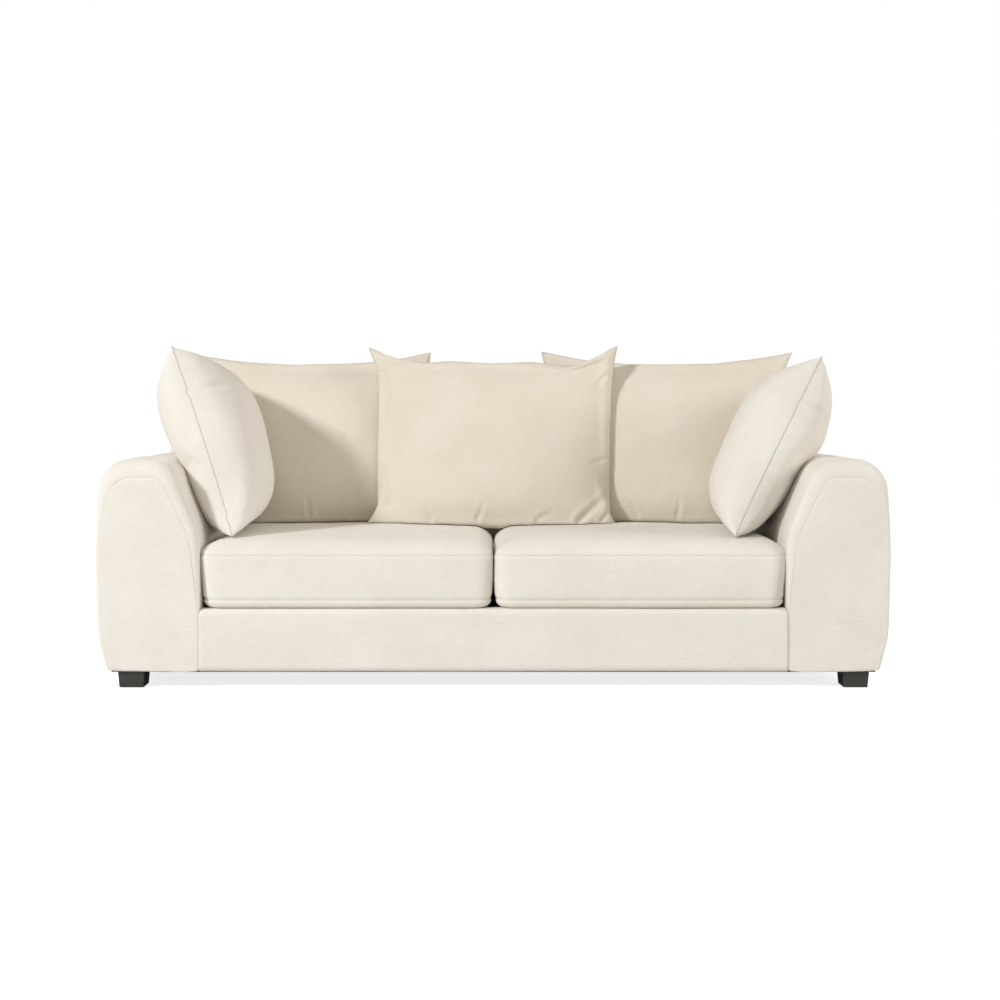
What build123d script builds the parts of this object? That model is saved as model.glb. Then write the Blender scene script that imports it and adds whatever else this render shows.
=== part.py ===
"""Three-seat sofa: padded arms and back on a timber frame, sinuous seat springs, two boxed seat cushions,
five loose pillows and four black-stained block feet.

Millimetres. X runs along the sofa, the front faces -Y, +Z is up. The origin is on the floor, at the
middle of the footprint.
"""
import math
import os

from build123d import *

# ---- overall -----------------------------------------------------------------------------------
SOFA_WIDTH = 2280.0        # across the fullest part of both arms
SOFA_DEPTH = 1000.0
FOOT_HEIGHT = 50.0
ARM_HEIGHT = 655.0
BACK_HEIGHT = 690.0
BORDER_TOP = 228.0         # top of the padded border and of the decking, under the seat cushions

FRONT_Y = -SOFA_DEPTH / 2
REAR_Y = SOFA_DEPTH / 2
OUTER_HALF = SOFA_WIDTH / 2

SOFT_GAP = 0.3             # clearance between a soft piece and what it rests on
COVER = 3.0                # fabric with its lining
ZIP_WIDTH = 7.0
ZIP_DEPTH = 2.0

# ---- arms --------------------------------------------------------------------------------------
ARM_WIDTH = 300.0          # from its inner face to its fullest part
ARM_PAD = 28.0             # foam over the arm frame
ARM_SLOPE_START = 440.0    # height where the inner face starts to lean outwards
ARM_TOP_INSET = 92.0       # how far the inner top corner leans away from the seat
ARM_TOP_OUTER_INSET = 14.0 # outer top corner, in from the fullest part
ARM_FULLEST_Z = 390.0
ARM_FULLEST_EXTRA = 1.6    # the sharp corner that the bulge is rounded from
ARM_WAIST_Z = 122.0
ARM_WAIST_INSET = 9.0
ARM_FOOT_INSET = 33.0      # how far the outer face tucks in at the bottom
ARM_CORNER_ROUNDS = [180.0, 78.0, 76.0, 800.0, 90.0]
ARM_FRONT_ROUND = 38.0
WELL_HALF = OUTER_HALF - ARM_WIDTH   # from the middle to an arm's inner face

# ---- back --------------------------------------------------------------------------------------
BACK_LEAN = 14.0           # degrees that the inside back and the pillows lean
OUTSIDE_BACK_THICK = 155.0 # the arms butt against the outside back
INSIDE_BACK_THICK = 95.0   # at the height of the seat
BACK_SIDE_INSET = 22.0     # the outside back is this much narrower than the arms, on each side
BACK_CORNER_ROUND = 62.0
BACK_EDGE_ROUND = 30.0
BACK_PAD = 24.0
INSIDE_BACK_DROP = 4.0     # the inside back ends this much lower than the outside back
INSIDE_BACK_ROUND = 12.0
WELL_GAP = 0.5             # the inside back's clearance to the arms

# ---- seat cushions -----------------------------------------------------------------------------
SEAT_TOP = 430.0
SEAT_BACK_GAP = 1.6        # between its rear and the bottom of the inside back
SEAT_FRONT_SETBACK = 8.0
SEAT_CROWN = 12.0
SEAT_SIDE_GAP = 1.0
SEAT_TOP_ROUND = 34.0
SEAT_BOTTOM_ROUND = 22.0
SEAT_CORNER_ROUND = 30.0
SEAT_ZIP_LENGTH = 620.0

# ---- pillows -----------------------------------------------------------------------------------
PILLOW_SHARE = 0.4773      # a pillow's width as a share of the space between the arms
PILLOW_HEIGHT = 572.0
PILLOW_THICK = 195.0
PILLOW_EDGE = 26.0         # thickness left along the seams
PILLOW_UPRIGHT_FULLER = 8.0  # how much thicker its upright section is than the one across
PILLOW_PULL = 34.0         # how far each side pulls in between its corners
PILLOW_ZIP_SHARE = 0.6     # the zip's share of the bottom seam
BACK_PILLOW_SPREAD = 166.0 # how far its outer top corner reaches out over the arm
BACK_PILLOW_TUCK = 4.0     # the outer bottom corner's clearance to the arm
CENTRE_PILLOW_STEP = 105.0 # how far the centre pillow stands in front of the back pillows
CENTRE_PILLOW_HEIGHT = 590.0
SIDE_PILLOW_SHARE = 0.775    # its length as a share of the seat cushion's depth
SIDE_PILLOW_HEIGHT = 582.0
SIDE_PILLOW_SAG = 42.0     # how much lower its rear top corner is
SIDE_PILLOW_THICK = 250.0
SIDE_PILLOW_SHIFT = 70.0   # how much further back its top is than its bottom
SIDE_PILLOW_YAW = 3.4      # degrees that its front turns in
SIDE_PILLOW_FRONT_SETBACK = 60.0
LEFT_PILLOW_INSET = 83.0   # its bottom front corner, in from the arm
LEFT_PILLOW_LEAN = 17.8    # degrees that it leans out over its arm
RIGHT_PILLOW_INSET = 141.0
RIGHT_PILLOW_LEAN = 26.0
ARM_CLEARANCE = 1.0        # between a pillow and an arm

# ---- seat frame --------------------------------------------------------------------------------
RAIL_THICK = 25.0
RAIL_BOTTOM = 75.0
RAIL_TOP = 212.0
BORDER_PAD = 22.0
BORDER_WRAP = 60.0         # how far the border's cover wraps back over the front rail
BORDER_ROUND = 12.0
CENTRE_RAIL_TOP = 150.0
CORNER_BLOCK = 70.0
BOLT_R = 4.0
BOLT_HEAD_R = 9.0
BOLT_HEAD = 5.0
BOLT_CLEARANCE = 0.3
ARM_BOLT_Z = 130.0
ARM_BOLT_SETBACK = 160.0
BACK_BOLT_INSET = 278.0    # in from the arms

# ---- springs and decking -----------------------------------------------------------------------
SPRING_WIRE = 3.8
SPRINGS_PER_SIDE = 5
SPRING_LOOPS = 26
SPRING_LOOP_WIDTH = 46.0
CLIP_WIDTH = 13.0
CLIP_DEPTH = 14.0
CLIP_WALL = 1.6
CLIP_CLEARANCE = 0.1
TIE_WIRE = 1.5
TIE_WIRES = 3

# ---- arm and back frames -----------------------------------------------------------------------
BOARD = 15.0               # plywood
FRAME_INSET = 8.0          # between the padding's inner face and the edge of a board
ARM_RAIL_HEIGHT = 45.0
BACK_POSTS = 4
BACK_POST_WIDTH = 60.0
WEB_WIDTH = 50.0
WEB_THICK = 1.6
WEB_COUNT = 8

# ---- feet and underside ------------------------------------------------------------------------
FOOT_INSET = 103.0          # middle of a foot, in from the fullest part of the arm
FOOT_SETBACK = 58.0        # middle of a front foot, behind the front; the rear feet match
FOOT_TOP_SIZE = 76.0
FOOT_BOTTOM_SIZE = 69.0
FOOT_EDGE_ROUND = 2.0
GLIDE_R = 14.0
GLIDE_HEIGHT = 3.0
FOOT_PLATE = 2.5
FOOT_PLATE_SIZE = 58.0
HANGER_R = 4.0
HANGER_LENGTH = 44.0
DUST_COVER = 1.2
DUST_COVER_INSET = 14.0

# ---- worked out from the sizes above -----------------------------------------------------------
ARM_REAR_Y = REAR_Y - OUTSIDE_BACK_THICK
BACK_FACE_Y = ARM_REAR_Y - INSIDE_BACK_THICK
LEAN = math.radians(BACK_LEAN)
SEAT_FRONT_Y = FRONT_Y + SEAT_FRONT_SETBACK
SEAT_REAR_Y = BACK_FACE_Y - (SEAT_TOP - BORDER_TOP) * math.tan(LEAN) - SEAT_BACK_GAP
PILLOW_WIDTH = 2 * WELL_HALF * PILLOW_SHARE
BACK_PILLOW_INNER_X = WELL_HALF + BACK_PILLOW_SPREAD - PILLOW_WIDTH
BACK_BOLT_X = WELL_HALF - BACK_BOLT_INSET
FOOT_X = OUTER_HALF - FOOT_INSET
BACK_HALF = OUTER_HALF - BACK_SIDE_INSET
FRONT_RAIL_Y = FRONT_Y + COVER + BORDER_PAD
REAR_RAIL_Y = ARM_REAR_Y - RAIL_THICK
DECK_BOTTOM = RAIL_TOP + 2 * CLIP_WALL + SPRING_WIRE + 2 * CLIP_CLEARANCE
ARM_CAVITY = COVER + ARM_PAD
BACK_CAVITY = COVER + BACK_PAD
SIDES = (("left", -1), ("right", 1))

os.makedirs("parts", exist_ok=True)


# ---- helpers -----------------------------------------------------------------------------------
def save(name, shape):
    """Writes one node. A list of separate solids becomes one node."""
    if isinstance(shape, (list, tuple)):
        shape = Compound(children=list(shape))
    export_step(shape, f"parts/{name}.step")


def block(x0, x1, y0, y1, z0, z1):
    """A box from its two corners."""
    return Pos((x0 + x1) / 2, (y0 + y1) / 2, (z0 + z1) / 2) * Box(x1 - x0, y1 - y0, z1 - z0)


def on_side(shape, side):
    """A piece made for the right, as it is or mirrored to the left."""
    return shape if side > 0 else mirror(shape, about=Plane.YZ)


def extrude_xz(face, y0, y1):
    """Extrudes a face drawn with X and Z as its two coordinates, from y0 to y1."""
    plane = Plane(origin=(0, y1, 0), x_dir=(1, 0, 0), z_dir=(0, -1, 0))
    return extrude(plane * face, amount=y1 - y0)


def extrude_yz(face, x0, x1):
    """Extrudes a face drawn with Y and Z as its two coordinates, from x0 to x1."""
    plane = Plane(origin=(x0, 0, 0), x_dir=(0, 1, 0), z_dir=(1, 0, 0))
    return extrude(plane * face, amount=x1 - x0)


def polygon(*corners):
    """A face with straight sides."""
    return make_face(Polyline(*corners, close=True))


def round_outline(corners, radii):
    """A closed face from its corners. The first and last corners stay sharp."""
    path = FilletPolyline(*corners, radius=radii)
    return make_face([*path.edges(), Line(corners[-1], corners[0])])


def bar(radius, start, end):
    """A round bar between two points."""
    start, end = Vector(*start), Vector(*end)
    return Plane(origin=start, z_dir=end - start) * Cylinder(
        radius, (end - start).length, align=(Align.CENTER, Align.CENTER, Align.MIN)
    )


def back_face_y(z):
    """Where the inside back's leaning face is at a height."""
    return BACK_FACE_Y + (z - SEAT_TOP) * math.tan(LEAN)


def well(gap, top):
    """The space between the arms up to a height, clear of them by gap. Above the arms it widens out."""
    narrow, wide = WELL_HALF - gap, WELL_HALF + ARM_TOP_INSET - gap
    right = [(narrow, 0.0), (narrow, ARM_SLOPE_START), (wide, ARM_HEIGHT)]
    if top > ARM_HEIGHT + gap:
        right += [(wide, ARM_HEIGHT + gap), (2 * OUTER_HALF, ARM_HEIGHT + gap), (2 * OUTER_HALF, top)]
    left = [(-x, z) for x, z in reversed(right)]
    return extrude_xz(polygon(*right, *left), 2 * FRONT_Y, 2 * REAR_Y)


# ---- arms --------------------------------------------------------------------------------------
def arm_outline(drop):
    """The right arm's section. drop lengthens it below its bottom, so that an inner one is open there."""
    bottom = FOOT_HEIGHT - drop
    tuck = (ARM_FOOT_INSET - ARM_WAIST_INSET) / (ARM_WAIST_Z - FOOT_HEIGHT)
    corners = [
        (WELL_HALF, bottom),
        (WELL_HALF, ARM_SLOPE_START),
        (WELL_HALF + ARM_TOP_INSET, ARM_HEIGHT),
        (OUTER_HALF - ARM_TOP_OUTER_INSET, ARM_HEIGHT),
        (OUTER_HALF + ARM_FULLEST_EXTRA, ARM_FULLEST_Z),
        (OUTER_HALF - ARM_WAIST_INSET, ARM_WAIST_Z),
        (OUTER_HALF - ARM_FOOT_INSET - tuck * drop, bottom),
    ]
    return round_outline(corners, ARM_CORNER_ROUNDS)


def arm_body(inset):
    """The right arm's body, taken in by inset all round and open at the bottom."""
    face = arm_outline(2.0 * inset)
    if inset:
        face = offset(face, -inset)
    body = extrude_xz(face, FRONT_Y + inset, ARM_REAR_Y - inset)
    front_y = FRONT_Y + inset
    front = [
        e for e in body.edges()
        if abs(e.center().Y - front_y) < 0.01 and e.center().Z > FOOT_HEIGHT + 1.0
    ]
    return fillet(front, ARM_FRONT_ROUND - inset)


def arm_boards():
    """Front and rear plywood boards of the right arm, and the base board that its front foot screws to."""
    section = offset(arm_outline(2.0 * ARM_CAVITY), -(ARM_CAVITY + FRAME_INSET))
    above = extrude_xz(polygon((0, FOOT_HEIGHT), (2 * OUTER_HALF, FOOT_HEIGHT),
                               (2 * OUTER_HALF, ARM_HEIGHT), (0, ARM_HEIGHT)), FRONT_Y, REAR_Y)
    front_y, rear_y = FRONT_Y + ARM_CAVITY, ARM_REAR_Y - ARM_CAVITY
    front = extrude_xz(section, front_y, front_y + BOARD) & above
    rear = extrude_xz(section, rear_y - BOARD, rear_y) & above
    floor = extrude_xz(section, front_y + BOARD, rear_y - BOARD)
    base = floor & block(0, 2 * OUTER_HALF, FRONT_Y, REAR_Y, FOOT_HEIGHT, FOOT_HEIGHT + BOARD)
    return front, rear, base


def arm_rails():
    """Timbers between the right arm's boards: an inner one that bolts to the seat frame, and two along the top."""
    y0, y1 = FRONT_Y + ARM_CAVITY + BOARD, ARM_REAR_Y - ARM_CAVITY - BOARD
    inner = WELL_HALF + ARM_CAVITY
    outer = OUTER_HALF - ARM_CAVITY - FRAME_INSET - ARM_TOP_OUTER_INSET
    top = ARM_HEIGHT - ARM_CAVITY - FRAME_INSET
    low = ARM_BOLT_Z - ARM_RAIL_HEIGHT / 2
    return [
        block(inner, inner + RAIL_THICK, y0, y1, low, low + ARM_RAIL_HEIGHT),
        block(inner + ARM_TOP_INSET + FRAME_INSET, inner + ARM_TOP_INSET + FRAME_INSET + ARM_RAIL_HEIGHT,
              y0, y1, top - RAIL_THICK, top),
        block(outer - RAIL_THICK, outer, y0, y1, top - 2 * RAIL_THICK - ARM_RAIL_HEIGHT,
              top - 2 * RAIL_THICK),
    ]


def arm_bolts():
    """Two bolts that hold the right arm to the seat frame. The heads are inside the seat frame."""
    start, end = WELL_HALF - RAIL_THICK, WELL_HALF + ARM_CAVITY + RAIL_THICK
    bolts = []
    for y in (FRONT_Y + ARM_BOLT_SETBACK, ARM_REAR_Y - ARM_BOLT_SETBACK):
        shank = bar(BOLT_R, (start, y, ARM_BOLT_Z), (end, y, ARM_BOLT_Z))
        head = bar(BOLT_HEAD_R, (start - BOLT_HEAD, y, ARM_BOLT_Z), (start, y, ARM_BOLT_Z))
        bolts.append(head + shank)
    return bolts


def arm_bolt_holes():
    """What the right arm's bolts pass through."""
    start, end = WELL_HALF - RAIL_THICK, WELL_HALF + ARM_CAVITY + RAIL_THICK
    holes = [
        bar(BOLT_R + BOLT_CLEARANCE, (start - BOLT_HEAD, y, ARM_BOLT_Z), (end + BOLT_HEAD, y, ARM_BOLT_Z))
        for y in (FRONT_Y + ARM_BOLT_SETBACK, ARM_REAR_Y - ARM_BOLT_SETBACK)
    ]
    return Compound(children=holes)


def build_arms():
    holes = arm_bolt_holes()
    cover_inner, pad_inner = arm_body(COVER), arm_body(ARM_CAVITY)
    below = block(0, 2 * OUTER_HALF, 2 * FRONT_Y, 2 * REAR_Y, FOOT_HEIGHT - 4 * ARM_CAVITY, FOOT_HEIGHT)
    cover = arm_body(0.0) - cover_inner - holes
    pad = cover_inner - pad_inner - below - holes
    front, rear, base = arm_boards()
    foot_hole = bar(HANGER_R, (FOOT_X, FRONT_Y + FOOT_SETBACK, 0),
                    (FOOT_X, FRONT_Y + FOOT_SETBACK, 2 * FOOT_HEIGHT))
    base = base - foot_hole
    rails = [rail - holes for rail in arm_rails()]
    for name, side in SIDES:
        save(f"arm_cover_{name}", on_side(cover, side))
        save(f"arm_padding_{name}", on_side(pad, side))
        save(f"arm_boards_{name}", [on_side(front, side), on_side(rear, side)])
        save(f"arm_rails_{name}", [on_side(rail, side) for rail in rails])
    save("arm_base_boards", [on_side(base, side) for _, side in SIDES])
    save("arm_bolts", [on_side(bolt, side) for _, side in SIDES for bolt in arm_bolts()])


# ---- seat frame --------------------------------------------------------------------------------
def border_section(inset, rear):
    """The front border's section in Y and Z, rounded at the front."""
    y0, y1 = FRONT_Y + inset, FRONT_Y + rear
    z0, z1 = FOOT_HEIGHT + inset, BORDER_TOP - inset
    return round_outline([(y1, z0), (y0, z0), (y0, z1), (y1, z1)], max(BORDER_ROUND - inset, 2.0))


def build_seat_frame():
    x0, x1 = -WELL_HALF, WELL_HALF
    outer = extrude_yz(border_section(0.0, BORDER_WRAP), x0, x1)
    inner = extrude_yz(border_section(COVER, BORDER_WRAP), x0, x1)
    pocket = block(x0, x1, FRONT_RAIL_Y, FRONT_Y + BORDER_WRAP, RAIL_BOTTOM, DECK_BOTTOM)
    save("front_border_cover", outer - inner)
    save("front_border_padding", inner - pocket)

    holes = arm_bolt_holes() + mirror(arm_bolt_holes(), about=Plane.YZ)
    save("front_rail", block(x0, x1, FRONT_RAIL_Y, FRONT_RAIL_Y + RAIL_THICK, RAIL_BOTTOM, RAIL_TOP))
    rear = block(x0, x1, REAR_RAIL_Y, ARM_REAR_Y, RAIL_BOTTOM, RAIL_TOP) - back_bolt_holes()
    save("rear_rail", rear)
    y0, y1 = FRONT_RAIL_Y + RAIL_THICK, REAR_RAIL_Y
    rail = block(x1 - RAIL_THICK, x1, y0, y1, RAIL_BOTTOM, RAIL_TOP - BORDER_ROUND)
    save("side_rails", [on_side(rail, side) - holes for _, side in SIDES])
    half = RAIL_THICK / 2
    save("centre_rail", block(-half, half, y0, y1, RAIL_BOTTOM, CENTRE_RAIL_TOP))

    corner = x1 - RAIL_THICK
    front = polygon((corner, y0), (corner - CORNER_BLOCK, y0), (corner, y0 + CORNER_BLOCK))
    back = polygon((corner, y1), (corner - CORNER_BLOCK, y1), (corner, y1 - CORNER_BLOCK))
    blocks = [Pos(0, 0, RAIL_BOTTOM) * extrude(face, amount=CENTRE_RAIL_TOP - RAIL_BOTTOM)
              for face in (front, back)]
    save("corner_blocks", [on_side(b, side) for _, side in SIDES for b in blocks])


def spring():
    """One sinuous spring, lying along Y with its first loop at the origin."""
    y0 = FRONT_RAIL_Y + RAIL_THICK / 2
    y1 = REAR_RAIL_Y + RAIL_THICK / 2
    step = (y1 - y0) / SPRING_LOOPS
    half = (SPRING_LOOP_WIDTH - step) / 2
    edges = [Line((-half, y0), (half, y0))]
    for i in range(SPRING_LOOPS):
        side = 1 if i % 2 == 0 else -1
        y = y0 + (i + 0.5) * step
        edges.append(CenterArc((side * half, y), step / 2, -90, 180 * side))
        edges.append(Line((side * half, y + step / 2), (-side * half, y + step / 2)))
    path = Wire(edges)
    profile = Plane(origin=(-half, y0, 0), z_dir=(1, 0, 0)) * Circle(SPRING_WIRE / 2)
    return sweep(profile, path)


def build_springs():
    wire_z = RAIL_TOP + CLIP_WALL + CLIP_CLEARANCE + SPRING_WIRE / 2
    pitch = (WELL_HALF - RAIL_THICK) / SPRINGS_PER_SIDE
    places = [side * (i + 0.5) * pitch for _, side in SIDES for i in range(SPRINGS_PER_SIDE)]
    one = spring()
    save("seat_springs", [Pos(x, 0, wire_z) * one for x in places])
    height = DECK_BOTTOM - RAIL_TOP
    clip = Pos(0, 0, height / 2) * Box(CLIP_WIDTH, CLIP_DEPTH, height)
    tunnel = bar(SPRING_WIRE / 2 + CLIP_CLEARANCE, (-CLIP_WIDTH, 0, height / 2), (CLIP_WIDTH, 0, height / 2))
    clip = clip - tunnel
    rows = (FRONT_RAIL_Y + RAIL_THICK / 2, REAR_RAIL_Y + RAIL_THICK / 2)
    save("spring_clips", [Pos(x, y, RAIL_TOP) * clip for x in places for y in rows])
    tie_z = wire_z + SPRING_WIRE / 2 + TIE_WIRE / 2
    reach = places[-1] + SPRING_LOOP_WIDTH / 2
    spacing = (rows[1] - rows[0]) / (TIE_WIRES + 1)
    ties = [rows[0] + (i + 1) * spacing for i in range(TIE_WIRES)]
    save("spring_tie_wires", [bar(TIE_WIRE / 2, (-reach, y, tie_z), (reach, y, tie_z)) for y in ties])
    deck = block(-WELL_HALF, WELL_HALF, FRONT_Y + BORDER_WRAP, back_face_y(BORDER_TOP) + BACK_PAD,
                 DECK_BOTTOM, BORDER_TOP)
    save("seat_decking", deck)


# ---- back --------------------------------------------------------------------------------------
def outside_back_body(inset):
    """The outside back's body, taken in by inset and open at the bottom."""
    bottom = FOOT_HEIGHT - 2.0 * inset
    half, top = BACK_HALF - inset, BACK_HEIGHT - inset
    corner = BACK_CORNER_ROUND - inset
    face = round_outline([(-half, bottom), (-half, top), (half, top), (half, bottom)], corner)
    y0, y1 = ARM_REAR_Y + inset, REAR_Y - inset
    body = extrude_xz(face, y0, y1)
    rim = [
        e for e in body.edges()
        if min(abs(e.center().Y - y0), abs(e.center().Y - y1)) < 0.01 and e.center().Z > FOOT_HEIGHT + 1.0
    ]
    return fillet(rim, BACK_EDGE_ROUND - inset)


def back_bolt_holes():
    """What the back's bolts pass through."""
    holes = [
        bar(BOLT_R + BOLT_CLEARANCE, (x, REAR_RAIL_Y - BOLT_HEAD, ARM_BOLT_Z),
            (x, ARM_REAR_Y + BACK_CAVITY + RAIL_THICK + BOLT_HEAD, ARM_BOLT_Z))
        for x in (-BACK_BOLT_X, BACK_BOLT_X)
    ]
    return Compound(children=holes)


def build_back():
    holes = back_bolt_holes()
    cover_inner, pad_inner = outside_back_body(COVER), outside_back_body(BACK_CAVITY)
    below = block(-2 * OUTER_HALF, 2 * OUTER_HALF, FRONT_Y, 2 * REAR_Y, FOOT_HEIGHT - 4 * BACK_CAVITY,
                  FOOT_HEIGHT)
    save("outside_back_cover", outside_back_body(0.0) - cover_inner - holes)
    save("outside_back_padding", cover_inner - pad_inner - below - holes)

    y0, y1 = ARM_REAR_Y + BACK_CAVITY, REAR_Y - BACK_CAVITY
    half = BACK_HALF - BACK_CAVITY - FRAME_INSET
    top = BACK_HEIGHT - BACK_CAVITY - FRAME_INSET
    foot_y = REAR_Y - FOOT_SETBACK
    base = block(-half, half, y0, y1, FOOT_HEIGHT, FOOT_HEIGHT + BOARD)
    for _, side in SIDES:
        base = base - bar(HANGER_R, (side * FOOT_X, foot_y, 0), (side * FOOT_X, foot_y, 2 * FOOT_HEIGHT))
    save("back_base_board", base)
    low = ARM_BOLT_Z - ARM_RAIL_HEIGHT / 2
    rail_y = y0 + RAIL_THICK
    save("back_bottom_rail", block(-half, half, y0, rail_y, low, low + ARM_RAIL_HEIGHT) - holes)
    rail_half = half - BACK_CORNER_ROUND
    save("back_top_rail", block(-rail_half, rail_half, y0, rail_y, top - ARM_RAIL_HEIGHT, top))
    spacing = 2 * (half - BACK_POST_WIDTH / 2) / (BACK_POSTS - 1)
    posts = []
    for i in range(BACK_POSTS):
        x = -half + BACK_POST_WIDTH / 2 + i * spacing
        posts.append(block(x - BACK_POST_WIDTH / 2, x + BACK_POST_WIDTH / 2, rail_y, rail_y + RAIL_THICK,
                           FOOT_HEIGHT + BOARD, top - BACK_CORNER_ROUND))
    save("back_posts", posts)
    web_z0, web_z1 = low + ARM_RAIL_HEIGHT, top - ARM_RAIL_HEIGHT
    web_spacing = 2 * rail_half / WEB_COUNT
    webs = []
    for i in range(WEB_COUNT):
        x = -rail_half + (i + 0.5) * web_spacing
        webs.append(block(x - WEB_WIDTH / 2, x + WEB_WIDTH / 2, y0, y0 + WEB_THICK, web_z0, web_z1))
    save("back_webbing", webs)
    bolts = []
    for x in (-BACK_BOLT_X, BACK_BOLT_X):
        shank = bar(BOLT_R, (x, REAR_RAIL_Y, ARM_BOLT_Z), (x, rail_y, ARM_BOLT_Z))
        head = bar(BOLT_HEAD_R, (x, REAR_RAIL_Y - BOLT_HEAD, ARM_BOLT_Z), (x, REAR_RAIL_Y, ARM_BOLT_Z))
        bolts.append(head + shank)
    save("back_bolts", bolts)

    outer, inner = inside_back_body(0.0), inside_back_body(COVER)
    save("inside_back_cover", outer - inner)
    save("inside_back_padding", inner)


def inside_back_body(inset):
    """The padded back between the arms, leaning, with a rounded top edge."""
    z0, z1 = BORDER_TOP + inset, BACK_HEIGHT - INSIDE_BACK_DROP - inset
    shift = inset / math.cos(LEAN)
    y0, y1 = back_face_y(z0) + shift, back_face_y(z1) + shift
    rear = ARM_REAR_Y - inset
    face = round_outline([(rear, z0), (y0, z0), (y1, z1), (rear, z1)],
                         [2.0, max(INSIDE_BACK_ROUND - inset, 2.0)])
    narrow = WELL_HALF - WELL_GAP - inset
    slope = ARM_TOP_INSET / (ARM_HEIGHT - ARM_SLOPE_START)
    wide = narrow + slope * (z1 - ARM_SLOPE_START)
    right = [(narrow, z0), (narrow, ARM_SLOPE_START), (wide, z1)]
    left = [(-x, z) for x, z in reversed(right)]
    return extrude_yz(face, -OUTER_HALF, OUTER_HALF) & extrude_xz(polygon(*right, *left), 0, REAR_Y)


# ---- seat cushions -----------------------------------------------------------------------------
def seat_cushion_body(inset):
    """The right seat cushion, crowned on top, taken in by inset all round."""
    x0, x1 = SEAT_SIDE_GAP + inset, WELL_HALF - SEAT_SIDE_GAP - inset
    y0, y1 = SEAT_FRONT_Y + inset, SEAT_REAR_Y - inset
    z0, z1 = BORDER_TOP + SOFT_GAP + inset, SEAT_TOP - inset
    edge = z1 - SEAT_CROWN
    crown = ThreePointArc((x1, edge), ((x0 + x1) / 2, z1), (x0, edge))
    sides = Polyline((x0, edge), (x0, z0), (x1, z0), (x1, edge))
    across = make_face([crown, *sides.edges()])
    across = fillet(across.vertices(), SEAT_CORNER_ROUND - inset)
    above, middle = z1 + SEAT_CROWN / 2, (y0 + y1) / 2
    top, bottom = SEAT_TOP_ROUND + SEAT_CROWN / 2 - inset, SEAT_BOTTOM_ROUND - inset
    along = round_outline([(middle, z0), (y0, z0), (y0, above), (y1, above), (y1, z0)], [bottom, top, top])
    return extrude_xz(across, y0, y1) & extrude_yz(along, x0, x1)


def build_seat_cushions():
    y1 = SEAT_REAR_Y
    middle = WELL_HALF / 2
    z = (BORDER_TOP + SEAT_TOP) / 2
    groove = block(middle - SEAT_ZIP_LENGTH / 2, middle + SEAT_ZIP_LENGTH / 2, y1 - ZIP_DEPTH, y1,
                   z - ZIP_WIDTH / 2, z + ZIP_WIDTH / 2)
    outer, core = seat_cushion_body(0.0), seat_cushion_body(COVER)
    cover = outer - core - groove
    for name, side in SIDES:
        save(f"seat_cushion_{name}_cover", on_side(cover, side))
        save(f"seat_cushion_{name}_foam", on_side(core, side))
        save(f"seat_cushion_{name}_zip", on_side(groove, side))


# ---- pillows -----------------------------------------------------------------------------------
def pulled_side(a, b, pull):
    """One side of a pillow's outline, drawn in between its corners."""
    a, b = Vector(*a), Vector(*b)
    if pull == 0:
        return Line(a, b)
    along = (b - a).normalized()
    inwards = Vector(-along.Y, along.X)
    return ThreePointArc(a, (a + b) / 2 + inwards * pull, b)


def lens(length, thick, edge, inset):
    """The section of a filled pillow: a lens with blunt ends, starting at the origin."""
    half, blunt = thick / 2, edge / 2
    front = ThreePointArc((0, blunt), (length / 2, half), (length, blunt))
    back = ThreePointArc((length, -blunt), (length / 2, -half), (0, -blunt))
    ends = [Line((length, blunt), (length, -blunt)), Line((0, -blunt), (0, blunt))]
    face = make_face([front, ends[0], back, ends[1]])
    return offset(face, -inset, kind=Kind.INTERSECTION) if inset else face


def pillow_body(corners, thick, inset):
    """A filled pillow lying in X and Z. corners run from its lower left round to its upper left."""
    pulls = [0.0, PILLOW_PULL, PILLOW_PULL, PILLOW_PULL]
    sides = [pulled_side(corners[i], corners[(i + 1) % 4], pulls[i]) for i in range(4)]
    outline = make_face(sides)
    if inset:
        outline = offset(outline, -inset, kind=Kind.INTERSECTION)
    left = min(c[0] for c in corners)
    width = max(c[0] for c in corners) - left
    height = max(c[1] for c in corners)
    body = extrude_xz(outline, -thick, thick)
    across = lens(width, thick, PILLOW_EDGE, inset)
    upright = lens(height, thick + PILLOW_UPRIGHT_FULLER, PILLOW_EDGE, inset)
    plane = Plane(origin=(left, 0, -height), x_dir=(1, 0, 0), z_dir=(0, 0, 1))
    body = body & extrude(plane * across, amount=3 * height)
    turned = Plane(origin=(left - width, 0, 0), x_dir=(0, 0, 1), z_dir=(1, 0, 0))
    return body & extrude(turned * upright, amount=3 * width)


def save_pillow(name, corners, thick, place, keep_in):
    """A pillow's cover, filling and zip, put in place and held inside the space between the arms."""
    outer = (place * pillow_body(corners, thick, 0.0)) & keep_in[0]
    inner = (place * pillow_body(corners, thick, COVER)) & keep_in[1]
    x0, x1 = corners[0][0], corners[1][0]
    middle, reach = (x0 + x1) / 2, (x1 - x0) / 2 * PILLOW_ZIP_SHARE
    groove = place * block(middle - reach, middle + reach, -ZIP_WIDTH / 2, ZIP_WIDTH / 2, 0, ZIP_DEPTH)
    save(f"{name}_cover", outer - inner - groove)
    save(f"{name}_filling", inner)
    save(f"{name}_zip", groove)


def seat_top_z(x):
    """The top of the crowned seat cushion at a distance from the sofa's middle."""
    half = WELL_HALF / 2
    return SEAT_TOP - SEAT_CROWN * ((x - half) / (half - SEAT_SIDE_GAP)) ** 2


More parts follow.
